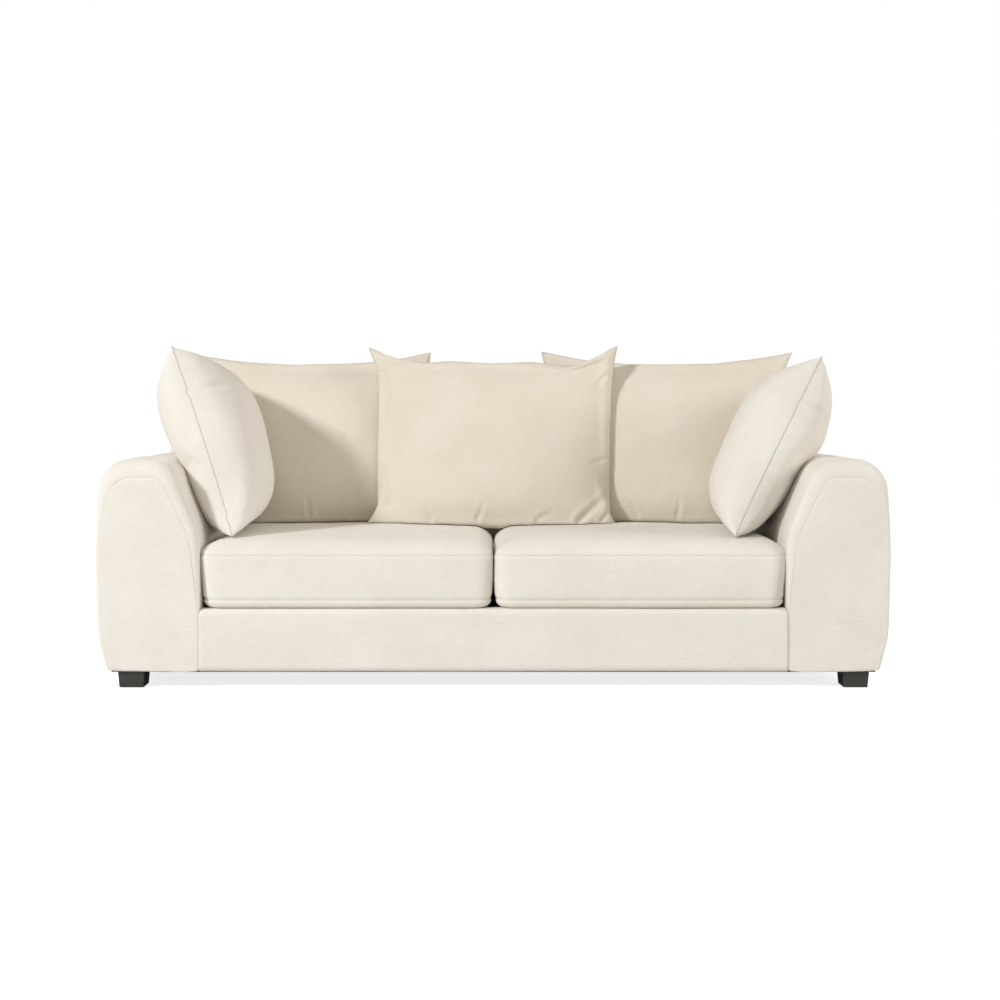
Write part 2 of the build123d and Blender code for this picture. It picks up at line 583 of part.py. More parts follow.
def build_pillows():
    keep_in = (well(ARM_CLEARANCE, 3 * ARM_HEIGHT), well(ARM_CLEARANCE + COVER, 3 * ARM_HEIGHT))
    blunt = PILLOW_EDGE / 2
    rest_z = SEAT_TOP + SOFT_GAP + blunt * math.sin(LEAN)
    rest_y = BACK_FACE_Y - (PILLOW_THICK / 2 + SOFT_GAP) / math.cos(LEAN)
    slope = ARM_TOP_INSET / (ARM_HEIGHT - ARM_SLOPE_START)
    outer_low = WELL_HALF - BACK_PILLOW_TUCK
    outer_high = BACK_PILLOW_INNER_X + PILLOW_WIDTH
    leaning = Rot(-BACK_LEAN, 0, 0)

    right = [(BACK_PILLOW_INNER_X, 0), (outer_low, 0), (outer_high, PILLOW_HEIGHT),
             (BACK_PILLOW_INNER_X, PILLOW_HEIGHT)]
    left = [(-x, z) for x, z in (right[1], right[0], right[3], right[2])]
    place = Pos(0, rest_y, rest_z) * leaning
    save_pillow("back_pillow_right", right, PILLOW_THICK, place, keep_in)
    save_pillow("back_pillow_left", left, PILLOW_THICK, place, keep_in)

    half = PILLOW_WIDTH / 2
    centre = [(-half, 0), (half, 0), (half, CENTRE_PILLOW_HEIGHT), (-half, CENTRE_PILLOW_HEIGHT)]
    place = Pos(0, rest_y - CENTRE_PILLOW_STEP / math.cos(LEAN), rest_z) * leaning
    save_pillow("centre_pillow", centre, PILLOW_THICK, place, keep_in)

    shift, length = SIDE_PILLOW_SHIFT, SIDE_PILLOW_SHARE * (SEAT_REAR_Y - SEAT_FRONT_Y)
    top = SIDE_PILLOW_HEIGHT
    outline = [(0, 0), (length, 0), (length + shift, top - SIDE_PILLOW_SAG), (shift, top)]
    for name, side, x, lean in (
        ("left", -1, WELL_HALF - LEFT_PILLOW_INSET, LEFT_PILLOW_LEAN),
        ("right", 1, WELL_HALF - RIGHT_PILLOW_INSET, RIGHT_PILLOW_LEAN),
    ):
        front_y = SEAT_FRONT_Y + SIDE_PILLOW_FRONT_SETBACK
        angle = math.radians(lean)
        low = seat_top_z(x + blunt * math.cos(angle)) + SOFT_GAP + blunt * math.sin(angle)
        turned = Rot(0, 0, -side * SIDE_PILLOW_YAW) * Rot(0, side * lean, 0) * Rot(0, 0, 90)
        place = Pos(side * x, front_y, low) * turned
        save_pillow(f"side_pillow_{name}", outline, SIDE_PILLOW_THICK, place, keep_in)


# ---- feet and underside ------------------------------------------------------------------------
def build_feet():
    blank = loft([Pos(0, 0, GLIDE_HEIGHT) * Rectangle(FOOT_BOTTOM_SIZE, FOOT_BOTTOM_SIZE),
                  Pos(0, 0, FOOT_HEIGHT - FOOT_PLATE) * Rectangle(FOOT_TOP_SIZE, FOOT_TOP_SIZE)])
    corners = [e for e in blank.edges() if abs(e.tangent_at(0.5).Z) > 0.5]
    blank = fillet(corners, FOOT_EDGE_ROUND)
    bolt_bottom = FOOT_HEIGHT + BOARD - HANGER_LENGTH
    blank = blank - bar(HANGER_R, (0, 0, bolt_bottom), (0, 0, 2 * FOOT_HEIGHT))
    size = FOOT_PLATE_SIZE / 2
    plate = block(-size, size, -size, size, FOOT_HEIGHT - FOOT_PLATE, FOOT_HEIGHT)
    plate = plate - bar(HANGER_R + BOLT_CLEARANCE, (0, 0, 0), (0, 0, 2 * FOOT_HEIGHT))
    hanger = bar(HANGER_R, (0, 0, bolt_bottom), (0, 0, FOOT_HEIGHT + BOARD))
    glide = bar(GLIDE_R, (0, 0, 0), (0, 0, GLIDE_HEIGHT))
    rows = (("front", FRONT_Y + FOOT_SETBACK), ("rear", REAR_Y - FOOT_SETBACK))
    places = [(row, name, Pos(side * FOOT_X, y, 0)) for row, y in rows for name, side in SIDES]
    for row, name, place in places:
        save(f"foot_{row}_{name}", place * blank)
    save("foot_plates", [place * plate for _, _, place in places])
    save("foot_hanger_bolts", [place * hanger for _, _, place in places])
    save("foot_glides", [place * glide for _, _, place in places])

    half = OUTER_HALF - ARM_FOOT_INSET - DUST_COVER_INSET
    sheet = block(-half, half, FRONT_Y + DUST_COVER_INSET, REAR_Y - DUST_COVER_INSET,
                  FOOT_HEIGHT - DUST_COVER, FOOT_HEIGHT)
    opening = FOOT_TOP_SIZE / 2 + 1.0
    for _, _, place in places:
        sheet = sheet - place * block(-opening, opening, -opening, opening, 0, 2 * FOOT_HEIGHT)
    save("dust_cover", sheet)


build_arms()
build_seat_frame()
build_springs()
build_back()
build_seat_cushions()
build_pillows()
build_feet()
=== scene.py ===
"""How a three-seat sofa looks: cream linen over padded arms, back and border, two boxed seat cushions, five
feather pillows and four black-stained block feet. Metres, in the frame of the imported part.
"""
import math

import bmesh
import bpy
import numpy as np
from mathutils import Matrix, Vector, noise
from mathutils.bvhtree import BVHTree


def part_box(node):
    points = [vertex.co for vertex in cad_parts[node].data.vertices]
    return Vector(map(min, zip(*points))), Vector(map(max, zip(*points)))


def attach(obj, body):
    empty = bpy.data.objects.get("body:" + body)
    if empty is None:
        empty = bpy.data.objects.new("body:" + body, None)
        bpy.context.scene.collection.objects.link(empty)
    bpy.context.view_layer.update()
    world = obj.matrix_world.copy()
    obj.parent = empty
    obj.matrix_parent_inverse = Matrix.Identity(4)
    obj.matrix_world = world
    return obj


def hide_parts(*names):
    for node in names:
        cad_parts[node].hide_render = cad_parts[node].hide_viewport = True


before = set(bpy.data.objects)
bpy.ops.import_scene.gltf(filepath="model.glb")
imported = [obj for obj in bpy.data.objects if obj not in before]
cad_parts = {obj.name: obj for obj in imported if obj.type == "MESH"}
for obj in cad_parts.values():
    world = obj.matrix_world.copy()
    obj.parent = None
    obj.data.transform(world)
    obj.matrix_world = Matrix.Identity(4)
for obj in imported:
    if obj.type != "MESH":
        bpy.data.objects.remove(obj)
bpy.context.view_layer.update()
MM = 0.001

# ---- arms --------------------------------------------------------------------------------------
# Each arm is a plywood and pine box, padded with foam and covered in linen. The cover is one long
# strip that rolls over the top and down the outside, sewn to a shaped panel on the front.


def linear(colour):
    """An sRGB hex colour as linear values with alpha."""
    parts = [int(colour[i:i + 2], 16) / 255 for i in (1, 3, 5)]
    return [c / 12.92 if c <= 0.04045 else ((c + 0.055) / 1.055) ** 2.4 for c in parts] + [1.0]


def node(tree, kind, links=None, **settings):
    """Adds a shader node, sets its properties and sockets, and links what feeds it."""
    made = tree.nodes.new(kind)
    for key, value in settings.items():
        if hasattr(made, key):
            setattr(made, key, value)
        else:
            made.inputs[int(key[1:]) if key[1:].isdigit() else key.replace("_", " ")].default_value = value
    for socket, source in (links or {}).items():
        tree.links.new(source, made.inputs[socket])
    return made


def new_material(name):
    """An empty node material with its output, and the tree that it is drawn in."""
    made = bpy.data.materials.new(name)
    made.use_nodes = True
    tree = made.node_tree
    tree.nodes.clear()
    return made, tree, tree.nodes.new("ShaderNodeOutputMaterial")


def ramp(tree, source, *stops):
    """A colour ramp from pairs of position and colour."""
    made = node(tree, "ShaderNodeValToRGB", {0: source})
    while len(made.color_ramp.elements) < len(stops):
        made.color_ramp.elements.new(0.5)
    for element, (position, colour) in zip(made.color_ramp.elements, stops):
        element.position, element.color = position, linear(colour)
    return made.outputs[0]


# Linen and cotton blend, plain woven from slubby yarn and piece dyed cream: a matt cloth with a soft
# nap, and short thick stretches of yarn that show as fine pale and dark dashes along the weft.
CREAM = ("#F2EFE9", "#EDEAE3", "#E6E2DA")     # light, middle and dark yarn
PAINTED_SHADE_CREAM = ("#EBE5D9", "#E6DFD2", "#DED7C8")  # darker, warmer cream for the pillows along the back: painted shade and warm bounce light on the same cloth
SLUB_LENGTH, SLUB_WIDTH = 28.0, 1.9    # mm; a real slub is half as thick, too fine to show
THREAD = 3.2                            # mm; drawn four times as coarse as the real thread
CLOUDS = 167.0                          # mm; faint patches where the dye took unevenly


def linen(name, yarn):
    """Linen with its slubs along the width of the sofa, or along its depth on the sides."""
    light, middle, dark = yarn
    made, tree, out = new_material(name)
    place = node(tree, "ShaderNodeTexCoord").outputs["Object"]
    normal = node(tree, "ShaderNodeNewGeometry").outputs["Normal"]
    facing = node(tree, "ShaderNodeSeparateXYZ", {0: normal}).outputs["X"]
    sideways = node(tree, "ShaderNodeMath", {0: facing}, operation="ABSOLUTE").outputs[0]
    sideways = node(tree, "ShaderNodeMapRange", {0: sideways}, From_Min=0.62, From_Max=0.78).outputs[0]

    def streaks(length, width, seed):
        """Noise drawn out along the weft, turned where the surface faces along it."""
        long_, wide = 1000 / length, 1000 / width
        both = []
        for scale in ((long_, wide, wide), (wide, long_, wide)):
            at = node(tree, "ShaderNodeMapping", {"Vector": place}, Scale=scale, Location=(seed, seed, 0.0))
            both.append(node(tree, "ShaderNodeTexNoise", {"Vector": at.outputs[0]}, Scale=1.0, Detail=2.0))
        mixed = {"Factor": sideways, 2: both[0].outputs[0], 3: both[1].outputs[0]}
        return node(tree, "ShaderNodeMix", mixed).outputs[0]

    slubs = streaks(SLUB_LENGTH, SLUB_WIDTH, 0.0)
    warp = node(tree, "ShaderNodeMapping", {"Vector": place},
                Scale=(1000 / THREAD, 1000 / THREAD, 1000 / SLUB_LENGTH)).outputs[0]
    warp = node(tree, "ShaderNodeTexNoise", {"Vector": warp}, Scale=1.0, Detail=2.0).outputs[0]
    threads = streaks(THREAD * 3, THREAD, 7.0)
    cloudy = node(tree, "ShaderNodeTexNoise", {"Vector": place}, Scale=1000 / CLOUDS, Detail=3.0).outputs[0]
    colour = ramp(tree, slubs, (0.30, dark), (0.46, middle), (0.60, middle), (0.76, light))
    across = ramp(tree, warp, (0.30, dark), (0.50, middle), (0.72, light))
    colour = node(tree, "ShaderNodeMix", {6: colour, 7: across}, data_type="RGBA", Factor=0.14).outputs[2]
    tone = ramp(tree, cloudy, (0.35, "#FBFAF8"), (0.65, "#FFFFFF"))
    colour = node(tree, "ShaderNodeMix", {6: colour, 7: tone}, data_type="RGBA", blend_type="MULTIPLY",
                  Factor=1.0).outputs[2]
    height = node(tree, "ShaderNodeMath", {0: slubs, 1: threads}, operation="ADD").outputs[0]
    height = node(tree, "ShaderNodeMath", {0: height, 1: warp}, operation="ADD").outputs[0]
    bump = node(tree, "ShaderNodeBump", {"Height": height}, Strength=0.2, Distance=0.5 * MM).outputs[0]
    cloth = node(tree, "ShaderNodeBsdfPrincipled", {"Base Color": colour, "Normal": bump}, Roughness=0.92,
                 Sheen_Weight=0.18, Sheen_Roughness=0.5, Specular_IOR_Level=0.25)
    tree.links.new(cloth.outputs[0], out.inputs[0])
    return made


# The second linen, on the back and centre pillows, is the same cloth drawn darker and warmer: painted shade
# and warm bounce light.
LINEN, PAINTED_SHADE_LINEN = linen("cream_linen", CREAM), linen("cream_linen_painted_shade", PAINTED_SHADE_CREAM)


def new_piece(name, points, faces, material):
    """A smooth-shaded mesh object, its normals facing out."""
    mesh = bpy.data.meshes.new(name)
    mesh.from_pydata([tuple(p) for p in points], [], faces)
    made = bpy.data.objects.new(name, mesh)
    bpy.context.scene.collection.objects.link(made)
    tidy = bmesh.new()
    tidy.from_mesh(mesh)
    bmesh.ops.remove_doubles(tidy, verts=tidy.verts, dist=0.05 * MM)
    bmesh.ops.recalc_face_normals(tidy, faces=tidy.faces)
    tidy.to_mesh(mesh)
    tidy.free()
    mesh.shade_smooth()
    mesh.materials.append(material)
    return made


def apply_modifiers(piece):
    """Bakes a piece's modifiers into its mesh."""
    graph = bpy.context.evaluated_depsgraph_get()
    mesh = bpy.data.meshes.new_from_object(piece.evaluated_get(graph))
    piece.modifiers.clear()
    piece.data = mesh
    mesh.shade_smooth()


def subdivide(piece, levels=1):
    """Subdivides a piece smoothly and keeps the result."""
    piece.modifiers.new("smooth", "SUBSURF").levels = levels
    apply_modifiers(piece)


def vertex_array(piece):
    """A piece's points as an array."""
    flat = np.zeros(len(piece.data.vertices) * 3)
    piece.data.vertices.foreach_get("co", flat)
    return flat.reshape(-1, 3)


def set_vertices(piece, points):
    """Moves a piece's points to the rows of an array."""
    piece.data.vertices.foreach_set("co", np.asarray(points, np.float32).ravel())
    piece.data.update()


def ruffle(piece, depth, size, seed, where=None):
    """Moves the surface in and out by soft noise, as cloth over padding does.

    where gives each point's share of it.
    """
    piece.data.update()
    points = vertex_array(piece)
    for i, v in enumerate(piece.data.vertices):
        share = 1.0 if where is None else where(v.co)
        if share > 0:
            at = Vector((v.co.x / size[0] + seed, v.co.y / size[1], v.co.z / size[2]))
            points[i] += np.array(v.normal) * (noise.noise(at) * depth * share)
    set_vertices(piece, points)


def rounded_path(corners, radii, step):
    """Points along straight stretches and arcs. The first and last corners stay sharp."""
    path = [Vector(corners[0])]
    for before, at, after, radius in zip(corners, corners[1:], corners[2:], radii):
        before, at, after = Vector(before), Vector(at), Vector(after)
        inwards, onwards = (before - at).normalized(), (after - at).normalized()
        half = inwards.angle(onwards) / 2
        reach = radius / math.tan(half)
        centre = at + (inwards + onwards).normalized() * (radius / math.sin(half))
        start, end = at + inwards * reach - centre, at + onwards * reach - centre
        turn = start.angle_signed(end)
        count = max(2, math.ceil(abs(turn) * radius / step))
        for i in range(count + 1):
            angle = -turn * i / count
            path.append(centre + Vector((start.x * math.cos(angle) - start.y * math.sin(angle),
                                         start.x * math.sin(angle) + start.y * math.cos(angle))))
    path.append(Vector(corners[-1]))
    return path


def even_path(path, count):
    """The same line with points spaced evenly along it."""
    points = np.array([tuple(p) for p in path])
    lengths = np.r_[0, np.cumsum(np.linalg.norm(np.diff(points, axis=0), axis=1))]
    at = np.linspace(0, lengths[-1], count)
    return np.stack([np.interp(at, lengths, points[:, k]) for k in (0, 1)], axis=1)


def ring_faces(rings, count, endless=False):
    """Faces between closed rings of count points each. An endless row of rings also joins last to first."""
    faces = []
    for r in range(rings if endless else rings - 1):
        start, after = r * count, (r + 1) % rings * count
        faces += [(start + i, start + (i + 1) % count, after + (i + 1) % count, after + i)
                  for i in range(count)]
    return faces


def loft_rings(rings):
    """Points and faces of closed rings of equal length, with a fan at the last."""
    count = len(rings[0])
    points = [tuple(p) for ring in rings for p in ring]
    last, middle = len(points) - count, len(points)
    points.append(tuple(np.mean(np.array(rings[-1]), axis=0)))
    fan = [(last + i, last + (i + 1) % count, middle) for i in range(count)]
    return points, ring_faces(len(rings), count) + fan


WELL_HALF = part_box("arm_cover_right")[0].x     # inner face of an arm
ARM_FRONT, ARM_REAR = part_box("arm_cover_right")[0].y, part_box("arm_cover_right")[1].y
ARM_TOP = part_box("arm_cover_right")[1].z
OUTER_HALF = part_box("arm_cover_right")[1].x    # the fullest part of the outside
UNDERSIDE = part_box("arm_cover_right")[0].z
ARM_SLOPE_START = 440 * MM
ARM_TOP_LEAN = 92 * MM                         # how far the inside leans out between there and the top
ARM_OUTSIDE = ((14 * MM, ARM_TOP), (3 * MM, 390 * MM), (13 * MM, 142 * MM), (38 * MM, UNDERSIDE))
# inside bend, inner and outer top corners, the outside's swell and its tuck at the foot
ARM_ROUNDS = (190 * MM, 82 * MM, 90 * MM, 900 * MM, 230 * MM)
ARM_ROLL = 38 * MM                             # rounding between the sides and the front
PANEL_SEAM = 45 * MM                           # the front panel's seam, in from the side
BORDER_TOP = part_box("front_border_cover")[1].z
# the roll grows up the inner side, from the border to the arm's top
ROLL_HEIGHTS = np.array((BORDER_TOP / MM, 293, 350, 407, 470, 540, 600, ARM_TOP / MM)) * MM
ROLL_SHARES = np.array((0.08, 0.22, 0.38, 0.54, 0.66, 0.70, 0.82, 1.15))
# on the outer side it keeps one share, and grows to the top's from a height on
OUTER_ROLL, TOP_ROLL = 0.4, 1.15
OUTER_ROLL_START, OUTER_ROLL_RISE = 480 * MM, ARM_TOP - 500 * MM
SEAM_DEPTH, SEAM_WIDTH = 1.8 * MM, 1.8 * MM
# the front panel's seam is faint down the outside, from this far out and below this height
FAINT_FROM, FAINT_BELOW = OUTER_HALF - 95 * MM, 600 * MM
SEAM_FADE, FAINTEST = 40 * MM, 0.1
PANEL_PUFF = 3 * MM
# the front panel's rings, in from the side: close together across its seam, then wider
PANEL_RINGS = np.array((40.5, 42.5, 43.5, 44.2, 45.0, 45.8, 46.5, 48, 51, 56, 62)) * MM


def arm_loop():
    """The arm's section, once round from the bottom of its inner face."""
    inside = [(WELL_HALF, UNDERSIDE), (WELL_HALF, ARM_SLOPE_START), (WELL_HALF + ARM_TOP_LEAN, ARM_TOP)]
    outside = [(OUTER_HALF - inset, z) for inset, z in ARM_OUTSIDE]
    return rounded_path(inside + outside, ARM_ROUNDS, 12 * MM)


def seam_dip(distance):
    """How deep a sewn seam pulls the cloth in, at a distance from it."""
    return SEAM_DEPTH * math.exp(-((distance / SEAM_WIDTH) ** 2))


def seam_strength(line):
    """How far the panel's seam shows round the section: down the outside it hardly does."""
    outside = np.clip((line[:, 0] - FAINT_FROM) / SEAM_FADE, 0.0, 1.0)
    low = np.clip((FAINT_BELOW - line[:, 1]) / SEAM_FADE, 0.0, 1.0)
    return 1 - (1 - FAINTEST) * outside * low


def roll_share(line):
    """How much of the full roll each point of the section has: almost none where the border joins."""
    share = np.interp(line[:, 1], ROLL_HEIGHTS, ROLL_SHARES)
    up = np.clip((line[:, 1] - OUTER_ROLL_START) / OUTER_ROLL_RISE, 0.0, 1.0)
    outside = line[:, 0] > (WELL_HALF + OUTER_HALF) / 2
    return np.where(outside, OUTER_ROLL + (TOP_ROLL - OUTER_ROLL) * up, share)


def arm_mesh():
    """The right arm: the rolled strip, the seam and the padded front panel."""
    side = even_path(arm_loop(), 190)
    share = roll_share(side)
    rings = [[(x, ARM_REAR, z) for x, z in inset_open(side, d)] for d in (60 * MM, 20 * MM)]
    # back to front along the strip, then round the roll, then across the panel
    for y in np.linspace(ARM_REAR, ARM_FRONT + ARM_ROLL, 60):
        rings.append([(x, y, z) for x, z in side])
    for degrees in range(0, 91, 9):
        a = math.radians(degrees)
        inner = inset_open(side, ARM_ROLL * (1 - math.cos(a)) * share)
        y = ARM_FRONT + ARM_ROLL * (1 - math.sin(a)) * share
        rings.append([(x, d, z) for (x, z), d in zip(inner, y)])
    for d in PANEL_RINGS:
        inner = inset_open(side, d * share)
        puff = PANEL_PUFF * min(1.0, max(0.0, d - PANEL_SEAM) / (30 * MM))
        y = ARM_FRONT + seam_dip(d - PANEL_SEAM) * seam_strength(inner) - puff
        rings.append([(x, depth, z) for (x, z), depth in zip(inner, y)])
    middle = (inner.min(axis=0) + inner.max(axis=0)) / 2
    for shrink in (0.85, 0.7, 0.55, 0.4, 0.25, 0.12):
        rings.append([(x, ARM_FRONT - puff, z) for x, z in middle + (inner - middle) * shrink])
    points, faces = loft_rings(rings)
    count = len(rings[0])
    points.append((middle[0], ARM_REAR, middle[1]))
    faces += [(i, (i + 1) % count, len(points) - 1) for i in range(count)]
    return points, faces


def inset_open(line, distance):
    """The section moved in along its normals, its two ends staying on the underside."""
    along = np.gradient(line, axis=0)
    along /= np.linalg.norm(along, axis=1)[:, None]
    distance = np.broadcast_to(distance, (len(line),))[:, None]
    moved = line + distance * np.stack([along[:, 1], -along[:, 0]], axis=1)
    moved[:, 1] = np.maximum(moved[:, 1], UNDERSIDE)
    return moved


arm_points, arm_faces = arm_mesh()
for name, side in (("left", -1), ("right", 1)):
    placed = [(side * x, y, z) for x, y, z in arm_points]
    arm = new_piece(f"arm_cover_{name}_sewn", placed, arm_faces, LINEN)
    subdivide(arm)
    ruffle(arm, 3.0 * MM, (0.30, 0.22, 0.26), 3.0 + side, lambda p: min(1.0, (ARM_REAR - p.y) / 0.05))
    ruffle(arm, 0.9 * MM, (0.06, 0.05, 0.08), 9.0 + side, lambda p: min(1.0, (ARM_REAR - p.y) / 0.05))
    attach(arm, "sofa_frame")
    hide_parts(f"arm_cover_{name}", f"arm_padding_{name}")

# ---- front border ------------------------------------------------------------------------------
# A flat padded strip across the front under the seat cushions, sewn to the arms' inner seams. Its
# cover is pulled over the rail's top edge and stapled underneath.
BORDER_LOW, BORDER_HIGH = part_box("front_border_cover")
BORDER_ROUND = 14 * MM


def capped_rings(rings):
    """Points and faces of closed rings of equal length, with a flat face at each end."""
    count = len(rings[0])
    points = [p for ring in rings for p in ring]
    ends = [tuple(range(count)), tuple(range(len(points) - count, len(points)))]
    return points, ring_faces(len(rings), count) + ends


def border_mesh():
    """The border's section run along the seat's width."""
    y0, y1 = BORDER_LOW.y + 1 * MM, BORDER_HIGH.y
    z0, z1 = BORDER_LOW.z, BORDER_HIGH.z
    section = rounded_path([(y1, z0), (y0, z0), (y0, z1), (y1, z1)], [BORDER_ROUND, BORDER_ROUND], 4 * MM)
    section = even_path(section, 40)
    return capped_rings([[(x, y, z) for y, z in section]
                         for x in np.linspace(BORDER_LOW.x, BORDER_HIGH.x, 200)])


border = new_piece("front_border_sewn", *border_mesh(), LINEN)
ruffle(border, 1.6 * MM, (0.35, 0.2, 0.12), 21.0)
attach(border, "sofa_frame")
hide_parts("front_border_cover", "front_border_padding")

# ---- outside back ------------------------------------------------------------------------------
# The tall padded frame behind, as wide as the arms, with a panel sewn round the edge of its rear face.
BACK_LOW, BACK_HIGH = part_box("outside_back_cover")
BACK_CORNER, BACK_EDGE = 62 * MM, 30 * MM
BACK_SEAM = 34 * MM                            # the rear panel's seam, in from the side
# the rear panel's rings, in from the side: close together across its seam, then wider
BACK_RINGS = np.array((31, 32.2, 33, 34, 35, 35.8, 37, 40, 46, 60)) * MM


def outside_back_mesh():
    """Rings from the middle of its front face, round the edge and on to the middle of its rear face."""
    x, z0, z1 = BACK_HIGH.x, BACK_LOW.z, BACK_HIGH.z
    outline = rounded_path([(x, z0), (x, z1), (-x, z1), (-x, z0)], [BACK_CORNER, BACK_CORNER], 12 * MM)
    outline = even_path(outline, 260)[::-1]
    rings = []

    def ring(inset, y):
        rings.append([(px, y, pz) for px, pz in inset_open(outline, inset)])

    y0, y1 = BACK_LOW.y, BACK_HIGH.y
    for inset in (52 * MM, 44 * MM):
        ring(inset, y0)
    turns = [math.radians(degrees) for degrees in range(0, 91, 15)]
    for a in turns[::-1]:
        ring(BACK_EDGE * (1 - math.cos(a)), y0 + BACK_EDGE * (1 - math.sin(a)))
    for y in np.linspace(y0 + BACK_EDGE, y1 - BACK_EDGE, 8)[1:-1]:
        ring(0.0, y)
    for a in turns:
        ring(BACK_EDGE * (1 - math.cos(a)), y1 - BACK_EDGE * (1 - math.sin(a)))
    for inset in BACK_RINGS:
        ring(inset, y1 - seam_dip(inset - BACK_SEAM))
    return rings


back = new_piece("outside_back_sewn", *loft_rings(outside_back_mesh()), LINEN)
subdivide(back)
ruffle(back, 2.4 * MM, (0.40, 0.3, 0.30), 31.0)
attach(back, "sofa_frame")
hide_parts("outside_back_cover", "outside_back_padding")

# ---- inside back -------------------------------------------------------------------------------
# The leaning padded panel between the arms that the pillows rest against. It is sewn to the outside
# back along its top edge.
INNER_LOW, INNER_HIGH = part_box("inside_back_cover")
LEAN = math.radians(14)
WELL_GAP = 0.6 * MM            # clearance to the arms


def lean_y(z):
    """Where the panel's leaning face is at a height."""
    return INNER_LOW.y + (z - INNER_LOW.z) * math.tan(LEAN)


def inside_back_mesh():
    """Sections across the panel, one for each place along its width at the bottom."""
    top, bottom, rear = INNER_HIGH.z, INNER_LOW.z, INNER_HIGH.y
    section = rounded_path([(rear, bottom), (lean_y(bottom), bottom), (lean_y(top), top), (rear, top)],
                           [4 * MM, 14 * MM], 3 * MM)
    section = even_path(section, 90)
    spread = ARM_TOP_LEAN / (ARM_TOP - ARM_SLOPE_START)
    halves = [WELL_HALF - WELL_GAP + spread * max(0.0, z - ARM_SLOPE_START) for _, z in section]
    return capped_rings([[(share * half, y, z) for (y, z), half in zip(section, halves)]
                         for share in np.linspace(-1, 1, 160)])


inside = new_piece("inside_back_sewn", *inside_back_mesh(), LINEN)
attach(inside, "sofa_frame")
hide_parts("inside_back_cover", "inside_back_padding")

# ---- seat cushions -----------------------------------------------------------------------------
# Foam cores wrapped in fibre, in boxed covers: a top and a bottom panel sewn to a strip that runs
# round the side, with a zip along the rear. They are soft enough to crown and to round at the corners.
UPPER_SEAM, LOWER_SEAM = 382 * MM, 254 * MM
SEAT_CORNER = 58 * MM          # rounding of the plan's corners
SEAT_BOTTOM_ROUND, SEAT_TOP_ROUND = 24 * MM, 64 * MM
SEAT_CROWN = 10 * MM
SEAM_PULL = 3.4 * MM
PUCKER = 1.4 * MM
BOXING_LEAN = 3 * MM           # the boxing is cut in towards the bottom
BOXING_FULL = 2 * MM           # how far it swells between its seams
SIDE_SPREAD = 11 * MM          # how far the core squeezes out towards the arms at the upper seam
BOTTOM_SPREAD = 0.25           # and the share of it at the lower seam


def smoothstep(low, high, value):
    """0 below low, 1 above high, and smooth between."""
    t = min(1.0, max(0.0, (value - low) / (high - low)))
    return t * t * (3 - 2 * t)


def seat_cushion_mesh(low, high):
    """A boxed cushion: rings from the bottom panel up the boxing and across the crowned top.

    Returns its points, its faces, and each seam's run of points.
    """
    centre, half = (low + high) / 2, (high - low) / 2
    side = math.copysign(1.0, centre.x)
    rings = []

    def ring(inset, z, crown=0.0, spread=0.0):
        x, y = half.x - inset, half.y - max(inset, 0.0)
        corners = [(x, 0), (x, y), (-x, y), (-x, -y), (x, -y), (x, 0)]
        loop = even_path(rounded_path(corners, [max(SEAT_CORNER - inset, 8 * MM)] * 4, 6 * MM), 221)[:-1]
        rings.append([(centre.x + x + side * spread * smoothstep(0.7, 1.0, side * x / half.x), centre.y + y,
                       z + crown_at(x, y, half) * crown) for x, y in loop])

    # bottom panel, its rounded edge, up the boxing to the top seam, and in across the crown
    for inset in (120, 90, 60, 42):
        ring(inset * MM, low.z)
    for degrees in range(90, 0, -15):
        a = math.radians(degrees)
        ring(BOXING_LEAN + SEAT_BOTTOM_ROUND * (1 - math.cos(a)),
             LOWER_SEAM - (LOWER_SEAM - low.z) * math.sin(a), spread=SIDE_SPREAD * BOTTOM_SPREAD)
    seams = [len(rings)]
    for share in (0.0, 0.04, 0.1, 0.2, 0.35, 0.5, 0.65, 0.8, 0.9, 0.96, 1.0):
        full = BOXING_FULL * math.sin(math.pi * share)
        ring(BOXING_LEAN * (1 - share) - full, LOWER_SEAM + (UPPER_SEAM - LOWER_SEAM) * share,
             spread=SIDE_SPREAD * (BOTTOM_SPREAD + (1 - BOTTOM_SPREAD) * smoothstep(0.2, 1.0, share)))
    seams.append(len(rings) - 1)
    start, rise = math.radians(24), high.z - SEAT_CROWN - UPPER_SEAM
    for degrees in range(28, 91, 7):
        a = math.radians(degrees)
        inwards = (math.cos(start) - math.cos(a)) / math.cos(start)
        up = (math.sin(a) - math.sin(start)) / (1 - math.sin(start))
        ring(SEAT_TOP_ROUND * inwards, UPPER_SEAM + rise * up, up, SIDE_SPREAD * (1 - inwards))
    for inset in (74, 92, 115, 140, 170, 200, 235, 270, 305):
        ring(inset * MM, high.z - SEAT_CROWN, 1.0)
    points, faces = loft_rings(rings)
    first = list(range(len(rings[0])))
    points.append((centre.x, centre.y, low.z))
    faces += [(first[i], first[(i + 1) % len(first)], len(points) - 1) for i in first]
    return points, faces, [range(at * len(first), (at + 1) * len(first)) for at in seams]


def crown_at(x, y, half):
    """The share of the crown at a place on the top, full in the middle and none at the seam."""
    across = max(0.0, 1 - (abs(x) / half.x) ** 2.6) * max(0.0, 1 - (abs(y) / half.y) ** 3.0)
    return SEAT_CROWN * across ** 0.7


